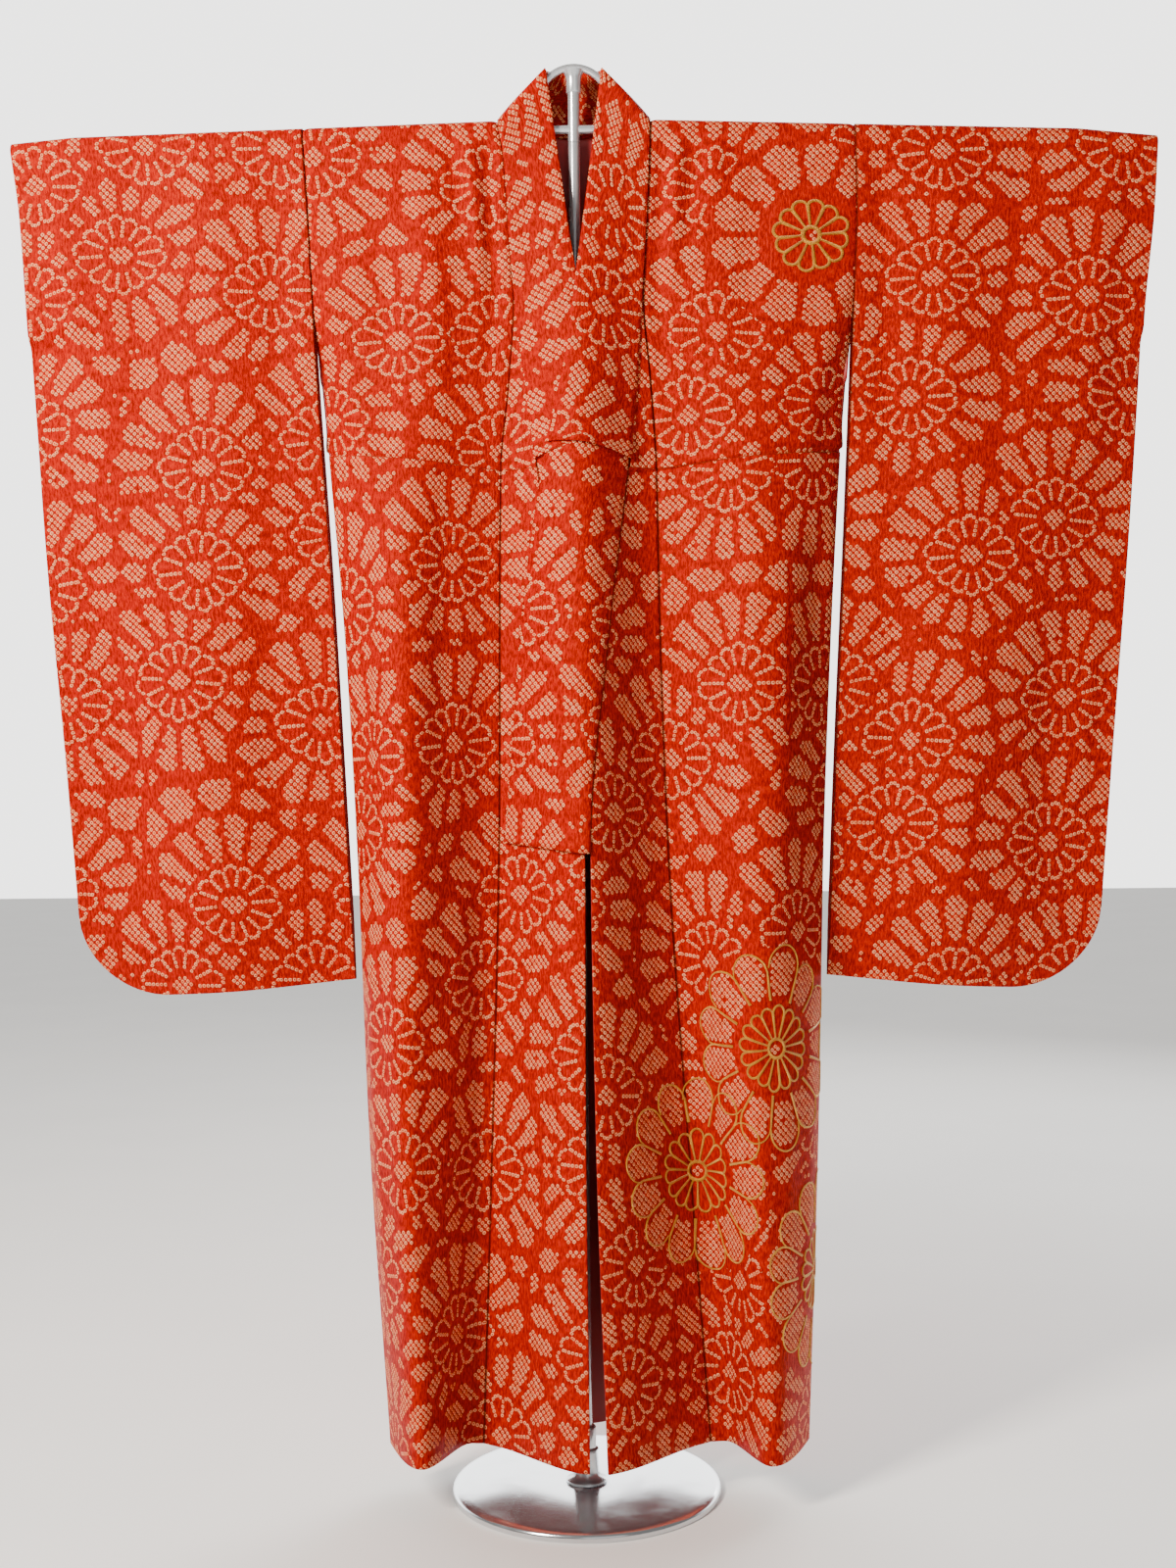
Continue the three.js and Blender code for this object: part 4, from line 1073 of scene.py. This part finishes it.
def red_lining():
    """Plain red silk with a fine weave and soft folds, with painted shade: darker in the fold
    troughs, lighter on their crests.
    """
    material, w, surface = new_material("red_lining_silk", Sheen_Weight=0.15)
    cloth = cloth_coordinates(w)
    x, y, _ = w.split(cloth)
    weave = w.math("SINE", x * 9000.0) * w.math("SINE", y * 9000.0)
    folds_and_painted_shade = w.noise(cloth, 14.0, 3.0)
    # painted shade: the lining's colour follows its fold bump, darker low and lighter high
    w.link(w.mix(folds_and_painted_shade, colour(122, 6, 10), colour(168, 16, 16)), surface.inputs["Base Color"])
    w.link(w.step(folds_and_painted_shade, 0.3, 0.7, 0.42, 0.56), surface.inputs["Roughness"])
    add_bump(w, surface, (folds_and_painted_shade, 0.002, 0.3), (weave, 0.00006, 0.3))
    return material


def gold_thread():
    """Satin stitch: close slanting threads across each line, coloured from a painted shadow brown
    to a painted highlight gold.
    """
    material, w, surface = new_material("gold_satin_stitch", Metallic=0.3, Sheen_Weight=0.1)
    cloth = cloth_coordinates(w)
    x, y, _ = w.split(cloth)
    threads = w.math("SINE", (y + x * 0.55) * (2 * math.pi / 0.00062))
    worn_and_shaded = w.noise(cloth, 160.0)
    painted_light_patches = w.noise(cloth, 34.0)
    # painted light: lighter on the thread tops that also bump, and in broad patches; the fine noise
    # also varies the roughness
    shade = w.step(threads + ((worn_and_shaded - 0.5) * 1.2 + (painted_light_patches - 0.5) * 3.4), -1.1, 1.3)
    w.link(w.mix(shade, colour(150, 78, 4), colour(255, 190, 44)), surface.inputs["Base Color"])
    w.link(w.step(worn_and_shaded, 0.3, 0.7, 0.30, 0.42), surface.inputs["Roughness"])
    add_bump(w, surface, (threads, 0.00022, 0.7))
    return material


def chrome(name, tone, rough, metal):
    """Polished metal with faint smudges."""
    material, w, surface = new_material(name, Metallic=metal)
    place = w.node("ShaderNodeTexCoord").outputs["Object"]
    smudge = w.noise(place, 26.0, 3.0, 0.6)
    w.link(w.mix(smudge, colour(*tone), colour(*(min(255, v + 14) for v in tone))),
           surface.inputs["Base Color"])
    w.link(w.math("ADD", rough, w.step(smudge, 0.45, 0.75) * 0.10), surface.inputs["Roughness"])
    add_bump(w, surface, (w.noise(place, 420.0), 0.00004, 0.25))
    return material


# ---- making the garment
FLOWERS = tied_flowers_group()
CREPE = crepe_group()
LINING_SILK = red_lining()
GOLD = gold_thread()
# each cloth starts elsewhere in the drawing; the rows of the right side slant the other way
RIGHT_START, LEFT_START = (0.213, 0.031), (1.377, 0.464)
SILK = {
    "body_right": tied_silk("body_right", RIGHT_START, -1.0, seam=OVERLAP_WIDTH),
    "body_left": tied_silk("body_left", LEFT_START, sewn=SEWN_FLOWERS, seam=OVERLAP_WIDTH),
    "back_right": tied_silk("back_right", RIGHT_START, -1.0, seam=OVERLAP_WIDTH),
    "back_left": tied_silk("back_left", LEFT_START, seam=OVERLAP_WIDTH),
    "sleeve_right": tied_silk("sleeve_right", (2.611, 0.187), -1.0),
    "sleeve_left": tied_silk("sleeve_left", (3.842, 0.339)),
    "collar": tied_silk("collar", (5.108, 0.057), -1.0),
}
HARD = {
    "chrome": chrome("stand_chrome", (222, 226, 230), 0.20, 0.72),
    "base": chrome("stand_base_chrome", (206, 210, 214), 0.16, 0.92),
}


def finish_piece(piece, node):
    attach(piece, "root")
    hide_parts(node)
    return piece


# ---- stand
POST_R = 7.0
BASE_R = 160.0
BASE_T = 10.0
HUB_HALF = 60.0
HUB_R = 8.0
HUB_SLEEVE = 14.0          # the hub is full size only at its two ends
HUB_WAIST_R = 5.0
ARM_R = 7.5
CAP_L = 5.0
ARCH_R = 42.0
ARCH_TUBE = 4.5
ARCH_Z = 1652.0
FERRULE_R = 8.75
FERRULE_Z = 1663.0
POST_TOP = 1604.0
SOCKET_TOP = 76.0
ROUND = 72                 # sides of a turned part
CRISP = 35.0               # degrees between faces that meet in a crisp edge


def turned(name, profile, material, steps=ROUND, axis_to=None, start=(0, 0, 0)):
    """A turned part from (radius, height) pairs; it stands on the Z axis or runs to axis_to."""
    profile = np.array(profile, float)
    closed = profile[0][0] > 1e-6
    angle = np.linspace(0, 2 * math.pi, steps, endpoint=False)
    points, faces, rings = [], [], []
    for radius, height in profile:
        if radius < 1e-6:
            rings.append([len(points)])
            points.append((0.0, 0.0, height))
        else:
            rings.append(list(range(len(points), len(points) + steps)))
            points += [(radius * math.cos(t), radius * math.sin(t), height) for t in angle]
    pairs = list(zip(rings, rings[1:] + rings[:1])) if closed else list(zip(rings, rings[1:]))
    for low, high in pairs:
        for k in range(steps):
            n = (k + 1) % steps
            quad = [low[k % len(low)], low[n % len(low)], high[n % len(high)], high[k % len(high)]]
            faces.append(list(dict.fromkeys(quad)))
    points = np.array(points)
    if axis_to is not None:
        line = Vector(axis_to) - Vector(start)
        turn = Vector((0, 0, 1)).rotation_difference(line)
        points = np.array([turn @ Vector(p) for p in points])
    return sharpen(build_mesh(name, points + np.array(start), faces, [material]))


def sharpen(piece, degrees=CRISP):
    """Turns all faces out and keeps edges crisp between smooth faces."""
    shape = bmesh.new()
    shape.from_mesh(piece.data)
    bmesh.ops.recalc_face_normals(shape, faces=shape.faces)
    shape.to_mesh(piece.data)
    shape.free()
    piece.data.set_sharp_from_angle(angle=math.radians(degrees))
    return piece


def rounded(radius, low, high, bevel):
    """Profile of a solid rod with bevelled ends."""
    turn = [(radius - bevel + bevel * math.cos(a), bevel * math.sin(a))
            for a in np.linspace(0, math.pi / 2, 5)]
    bottom = [(r, low + bevel - h) for r, h in reversed(turn)]
    top = [(r, high - bevel + h) for r, h in turn]
    return [(0, low), *bottom, *top, (0, high)]


def stand_pieces():
    """Makes the stand and returns the two arms that the cloth rests on."""
    base = turned("stand_base_plate", [
        (0, 0), (BASE_R - 1, 0), (BASE_R, 1), (BASE_R, 5), (BASE_R - 0.7, 7.2),
        (BASE_R - 2.6, 8.9), (BASE_R - 6, 9.7), (BASE_R - 14, 10), (40, 10), (0, BASE_T),
    ], HARD["base"], 128)
    bore, low = POST_R + SEAM, BASE_T + SEAM
    socket = turned("stand_foot_socket", [
        (bore, low), (24, low), (24.6, low + 0.8), (24, low + 3), (20, low + 4.6),
        (17, low + 7.5), (15, low + 13), (13.5, SOCKET_TOP - 30), (14.4, SOCKET_TOP - 29),
        (14.4, SOCKET_TOP - 27), (13.5, SOCKET_TOP - 26), (11.8, SOCKET_TOP - 25),
        (11.5, SOCKET_TOP - 24), (11.5, SOCKET_TOP - 2), (10.8, SOCKET_TOP - 0.6),
        (10, SOCKET_TOP), (bore, SOCKET_TOP),
    ], HARD["chrome"])
    post = turned("stand_upright", rounded(POST_R, BASE_T + SEAM, POST_TOP - SEAM, 0.6),
                  HARD["chrome"])
    for piece, node in ((base, "stand_base"), (socket, "stand_socket"), (post, "stand_post"),
                        (head_piece(), "stand_head")):
        finish_piece(piece, node)
    arms = []
    for side in ("right", "left"):
        s = SIGN[side]
        start = (s * (HUB_HALF + SEAM), 0, BAR_Z)
        end = (s * (ARM_END - CAP_L), 0, float(bar_z(ARM_END - CAP_L)))
        length = (Vector(end) - Vector(start)).length
        arm = turned(f"stand_bar_{side}", rounded(ARM_R, 0, length, 0.5), HARD["chrome"], 48,
                     end, start)
        tip = Vector(end) + (Vector(end) - Vector(start)).normalized() * CAP_L
        begin = Vector(end) + (tip - Vector(end)).normalized() * SEAM
        cap = turned(f"stand_bar_cap_{side}", rounded(ARM_R, 0, CAP_L - SEAM, 1.8),
                     HARD["chrome"], 48, tuple(tip), tuple(begin))
        finish_piece(arm, f"stand_arm_{side}")
        finish_piece(cap, f"stand_cap_{side}")
        arms.append(arm)
    return arms


def tube(path, radius, steps):
    """Points and faces of a tube with closed ends along a planar path in the XZ plane."""
    path = np.array(path, float)
    side = np.cross(unit(np.gradient(path, axis=0)), (0.0, 1.0, 0.0))
    points, faces = [], []
    for p, s in zip(path, side):
        for a in np.linspace(0, 2 * math.pi, steps, endpoint=False):
            points.append(p + radius * (math.cos(a) * s + math.sin(a) * np.array((0.0, 1.0, 0.0))))
    for j in range(len(path) - 1):
        for k in range(steps):
            n = (k + 1) % steps
            faces.append([j * steps + k, j * steps + n, (j + 1) * steps + n, (j + 1) * steps + k])
    faces.append(list(range(steps))[::-1])
    faces.append([(len(path) - 1) * steps + k for k in range(steps)])
    return points, faces


def head_piece():
    """Welded head: stub, flared ferrule, neck arch and hub, joined into one skin."""
    blend_top = ARCH_Z + ARCH_R
    stub = turned("head_stub", [
        (0, POST_TOP), (POST_R, POST_TOP), (POST_R, FERRULE_Z), (FERRULE_R - 0.5, FERRULE_Z),
        (FERRULE_R, FERRULE_Z + 0.8), (FERRULE_R, blend_top - 16),
        (FERRULE_R + 0.8, blend_top - 11), (FERRULE_R + 2.6, blend_top - 7),
        (FERRULE_R + 3.4, blend_top - 4.6), (0, blend_top - 1),
    ], HARD["chrome"])
    ends = rounded(HUB_R, 0, HUB_SLEEVE, 0.8)
    waist = [(HUB_WAIST_R, HUB_SLEEVE), (HUB_WAIST_R, 2 * HUB_HALF - HUB_SLEEVE)]
    far_end = [(radius, 2 * HUB_HALF - height) for radius, height in reversed(ends[1:-1])]
    profile = [*ends[:-1], *waist, *far_end, (0, 2 * HUB_HALF)]
    hub = turned("head_hub", profile, HARD["chrome"], ROUND,
                 (HUB_HALF, 0, BAR_Z), (-HUB_HALF, 0, BAR_Z))
    crown = [(ARCH_R * math.cos(a), 0, ARCH_Z + ARCH_R * math.sin(a))
             for a in np.linspace(math.pi, 0, 49)]
    left_leg = [(-ARCH_R, 0, z) for z in np.linspace(BAR_Z, ARCH_Z, 6)[:-1]]
    right_leg = [(ARCH_R, 0, z) for z in np.linspace(ARCH_Z, BAR_Z, 6)[1:]]
    points, faces = tube(left_leg + crown + right_leg, ARCH_TUBE, 32)
    arch = sharpen(build_mesh("stand_neck_arch", points, faces, [HARD["chrome"]]))
    for other in (stub, hub):
        join = arch.modifiers.new("weld", "BOOLEAN")
        join.operation = "UNION"
        join.solver = "EXACT"
        join.object = other
        bpy.context.view_layer.objects.active = arch
        bpy.ops.object.modifier_apply(modifier=join.name)
        bpy.data.objects.remove(other)
    arch.data.set_sharp_from_angle(angle=math.radians(CRISP))
    return arch


# ---- gold embroidery
class FrontSheet:
    """The left front, read by cloth coordinates: across from the overlap, up from the hem."""

    def __init__(self, body, part, overlap=None):
        rows = int(np.argmax(part == FOLD_PART))
        self.points, self.normals, uv = body.points[:rows], body.normals[:rows], body.uv[:rows]
        self.up = uv[:, 0, 1]
        if overlap is not None:
            rows = len(overlap.points)
            self.points, self.normals, uv = (
                np.concatenate([beside, own[:rows]], axis=1) for beside, own in (
                    (overlap.points, self.points), (overlap.normals, self.normals),
                    (overlap.uv, uv)))
            self.up = uv[:, 0, 1]
        self.across = uv[:, :, 0]

    def at(self, u, v):
        """The point and its normal at u across and v up."""
        row = np.interp(v, self.up, np.arange(len(self.up)))
        j = int(min(row, len(self.up) - 2))
        found = []
        for field in (self.points, self.normals):
            pair = [np.array([np.interp(u, self.across[k], field[k, :, c]) for c in range(3)])
                    for k in (j, j + 1)]
            found.append(lerp(pair[0], pair[1], row - j))
        return found[0], unit(found[1])


class Stitching:
    """Raised satin-stitch lines gathered into one mesh."""

    PROFILE = [(-0.5, -0.2), (-0.42, 0.45), (-0.2, 0.88), (0.0, 1.0), (0.2, 0.88), (0.42, 0.45),
               (0.5, -0.2)]

    def __init__(self, sheet, limit):
        self.sheet, self.limit = sheet, limit
        self.points, self.faces, self.uvs = [], [], []

    def sew(self, path, width, height=1.1, closed=False):
        """Lays one line along path, a list of (across, up, share of the full width)."""
        path = [p for p in path if p[0] < self.limit]
        if len(path) < 4:
            return
        path = np.array(path, float)
        spot = path[:, :2]
        if closed:
            tangent = np.roll(spot, -1, axis=0) - np.roll(spot, 1, axis=0)
        else:
            tangent = np.gradient(spot, axis=0)
        side = unit(np.stack([-tangent[:, 1], tangent[:, 0]], axis=1))
        start, wide = len(self.points), len(self.PROFILE)
        run = np.concatenate([[0], np.cumsum(np.linalg.norm(np.diff(spot, axis=0), axis=1))])
        for p, n, share, along in zip(spot, side, path[:, 2], run):
            for across, lift in self.PROFILE:
                u, v = p + n * across * width * share
                where, normal = self.sheet.at(u, v)
                self.points.append(where + normal * (CLOTH_T / 2 + 0.1 + lift * height))
                self.uvs.append((across * width, along))
        count = len(path)
        for j in range(count if closed else count - 1):
            for i in range(wide):
                n = (i + 1) % wide
                a, b = start + j * wide, start + ((j + 1) % count) * wide
                self.faces.append((a + i, b + i, b + n, a + n))
        if not closed:
            self.faces.append(tuple(start + i for i in range(wide)))
            self.faces.append(tuple(start + (count - 1) * wide + i for i in reversed(range(wide))))

    def finish(self, name):
        piece = build_mesh(name, self.points, self.faces, [GOLD], self.uvs)
        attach(sharpen(piece, 60.0), "root")


def polar(centre, radius, angle, share=1.0):
    return (centre[0] + radius * math.cos(angle), centre[1] + radius * math.sin(angle), share)


def sew_wheel(work, centre, radius, petals, rng, width):
    """Inner flower: a ring, lines between the petals and a scalloped rim."""
    ring = [polar(centre, radius * 0.23, a) for a in np.linspace(0, 2 * math.pi, 20)[:-1]]
    work.sew(ring, width * 1.1, 1.3, True)
    phase = rng.uniform(0, 1)
    step = 2 * math.pi / petals
    for k in range(petals):
        low, high = (k + phase) * step, (k + 1 + phase) * step
        reach = radius * rng.uniform(0.97, 1.04)
        line = [polar(centre, r, low, lerp(0.62, 1.0, t))
                for t, r in zip(np.linspace(0, 1, 7), np.linspace(radius * 0.27, radius * 0.86, 7))]
        work.sew(line, width)
        arc = []
        for t in np.linspace(0, 1, 9):
            bow = math.sin(math.pi * t) ** 0.6
            arc.append(polar(centre, lerp(radius * 0.84, reach, bow), lerp(low, high, t)))
        work.sew(arc, width * 0.8)


def sew_long_petals(work, centre, inner, outer, petals, rng, width):
    """Outer flower: one line up the side of each petal and round its end."""
    step = 2 * math.pi / petals
    for k in range(petals):
        low = (k + 0.5) * step + rng.uniform(-0.02, 0.02)
        high = low + step
        reach = outer * rng.uniform(0.93, 1.03)
        start = inner * rng.uniform(1.12, 1.25)
        path = [polar(centre, r, low, lerp(1.25, 0.9, t))
                for t, r in zip(np.linspace(0, 1, 14), np.linspace(start, reach * 0.78, 14))]
        for t in np.linspace(0, 1, 22)[1:]:
            bow = math.sin(math.pi * t) ** 0.55
            path.append(polar(centre, lerp(reach * 0.78, reach, bow), lerp(low, high, t),
                              lerp(0.9, 0.6, t)))
        work.sew(path, width)


def sewn_gold(body, overlap, part):
    """All the gold work on the left front, as raised lines on the cloth."""
    rng = np.random.default_rng(12)
    edge = OVERLAP_WIDTH + FRONT_WIDTH - 1.5
    chest = Stitching(FrontSheet(body, part), edge)
    sew_wheel(chest, SEWN_FLOWERS["D"], 43.0, 12, rng, 4.8)
    chest.finish("gold_chest_flower")
    skirt = Stitching(FrontSheet(body, part, overlap), edge)
    for label, petals in (("A", 16), ("B", 15), ("C", 16)):
        centre = SEWN_FLOWERS[label]
        sew_wheel(skirt, centre, 48.0, petals, rng, 3.7)
        sew_long_petals(skirt, centre, 48.0, SEWN_REACH, SEWN_PETALS, rng, 2.9)
    skirt.finish("gold_skirt_flowers")


# ---- assembly
def make_garment(arms):
    bodies, overlaps = {}, {}
    for side in ("right", "left"):
        bodies[side] = body_panel(side)
        overlaps[side] = overlap_panel(side)
        body, body_plain, part = bodies[side]
        overlap, overlap_plain = overlaps[side]
        silk = SILK[f"body_{side}"]
        back_row = int(np.argmax(part == BACK_PART))
        finish_piece(shell(f"silk_body_{side}", body, CLOTH_T, [silk, SILK[f"back_{side}"]],
                           back_row=back_row),
                     f"body_{side}")
        finish_piece(shell(f"silk_overlap_{side}", overlap, CLOTH_T, [silk]),
                     f"overlap_{side}")
        finish_piece(shell(f"lining_of_body_{side}", body_plain, LINING_T, [LINING_SILK],
                           -LINING_DROP),
                     f"lining_body_{side}")
        finish_piece(shell(f"lining_of_overlap_{side}", overlap_plain, LINING_T, [LINING_SILK],
                           -LINING_DROP),
                     f"lining_overlap_{side}")
        sleeve = sleeve_panel(side)
        finish_piece(shell(f"silk_sleeve_{side}", sleeve, CLOTH_T,
                           [SILK[f"sleeve_{side}"], LINING_SILK]),
                     f"sleeve_{side}")
    collar = collar_panel(bodies)
    finish_piece(shell("silk_collar", collar, COLLAR_T, [SILK["collar"]]),
                 "collar")
    over = over_collar_panel(collar)
    finish_piece(shell("silk_over_collar", over, OVER_T, [SILK["collar"]],
                       COLLAR_T / 2 + 0.3 + OVER_T / 2),
                 "over_collar")
    sewn_gold(bodies["left"][0], overlaps["left"][0], bodies["left"][2])


# ---- floor, light and camera
CAMERA_DISTANCE = 2.2
CAMERA_HEIGHT = 0.84
CAMERA_X = 0.0093
CAMERA_ROLL = -0.55        # degrees
FRAME_HEIGHT = 1.869       # metres seen at the garment
FLOOR_REACH = 12000.0


def make_stage():
    material, w, surface = new_material("pale_floor", Roughness=0.85)
    place = w.node("ShaderNodeTexCoord").outputs["Object"]
    tone = w.noise(place, 3.0)
    w.link(w.mix(tone, colour(236, 235, 233), colour(243, 242, 240)), surface.inputs["Base Color"])
    corners = [(x, y, 0) for x, y in ((-FLOOR_REACH, -FLOOR_REACH), (FLOOR_REACH, -FLOOR_REACH),
                                      (FLOOR_REACH, FLOOR_REACH), (-FLOOR_REACH, FLOOR_REACH))]
    build_mesh("floor", corners, [(0, 1, 2, 3)], [material])


def area_light(name, place, target, size, power, tint):
    data = bpy.data.lights.new(name, "AREA")
    data.shape = "RECTANGLE"
    data.size, data.size_y = size
    data.energy = power
    data.color = tint
    light = bpy.data.objects.new(name, data)
    light.location = place
    aim = Vector(target) - Vector(place)
    light.rotation_euler = aim.to_track_quat("-Z", "Y").to_euler()
    bpy.context.scene.collection.objects.link(light)


FRONT_GLOW = 0.18          # the studio is dim before the kimono and bright behind it
BACK_GLOW = 4.6
BACKDROP = 3.2             # the plain pale backdrop itself


def make_lights():
    area_light("key_left", (-1.75, -1.85, 2.3), (-0.05, 0, 1.1), (0.6, 1.0), 160,
               (1.0, 0.90, 0.80))
    area_light("fill_front", (0.9, -3.6, 1.7), (0, 0, 0.9), (2.4, 2.2), 10, (1.0, 0.97, 0.94))
    area_light("back_soft", (1.6, 2.6, 2.4), (0, 0, 1.0), (2.0, 2.0), 90, (1.0, 0.99, 0.97))
    world = bpy.data.worlds.new("studio")
    bpy.context.scene.world = world
    world.use_nodes = True
    w = Wiring(world.node_tree)
    background = world.node_tree.nodes["Background"]
    background.inputs["Color"].default_value = colour(255, 254, 252)
    _, toward_back, up = w.split(w.node("ShaderNodeTexCoord").outputs["Generated"])
    behind = w.step(toward_back, 0.15, 0.75)
    low = w.step(up, 0.30, 0.75, 1.0, 0.30) * w.step(up, -0.02, 0.30, 0.42, 1.0)
    glow = w.math("ADD", FRONT_GLOW, behind * low * BACK_GLOW)
    seen = w.node("ShaderNodeLightPath").outputs["Is Camera Ray"]
    w.link(w.pick(seen, glow, BACKDROP), background.inputs["Strength"])


def make_camera():
    data = bpy.data.cameras.new("camera")
    data.sensor_fit = "VERTICAL"
    data.sensor_height = 36.0
    data.lens = data.sensor_height * CAMERA_DISTANCE / FRAME_HEIGHT
    camera = bpy.data.objects.new("camera", data)
    turn = Matrix.Rotation(math.radians(90), 4, "X") @ Matrix.Rotation(
        math.radians(CAMERA_ROLL), 4, "Z")
    camera.matrix_world = Matrix.Translation((CAMERA_X, -CAMERA_DISTANCE, CAMERA_HEIGHT)) @ turn
    bpy.context.scene.collection.objects.link(camera)
    bpy.context.scene.camera = camera


make_camera()
make_stage()
make_lights()
make_garment(stand_pieces())
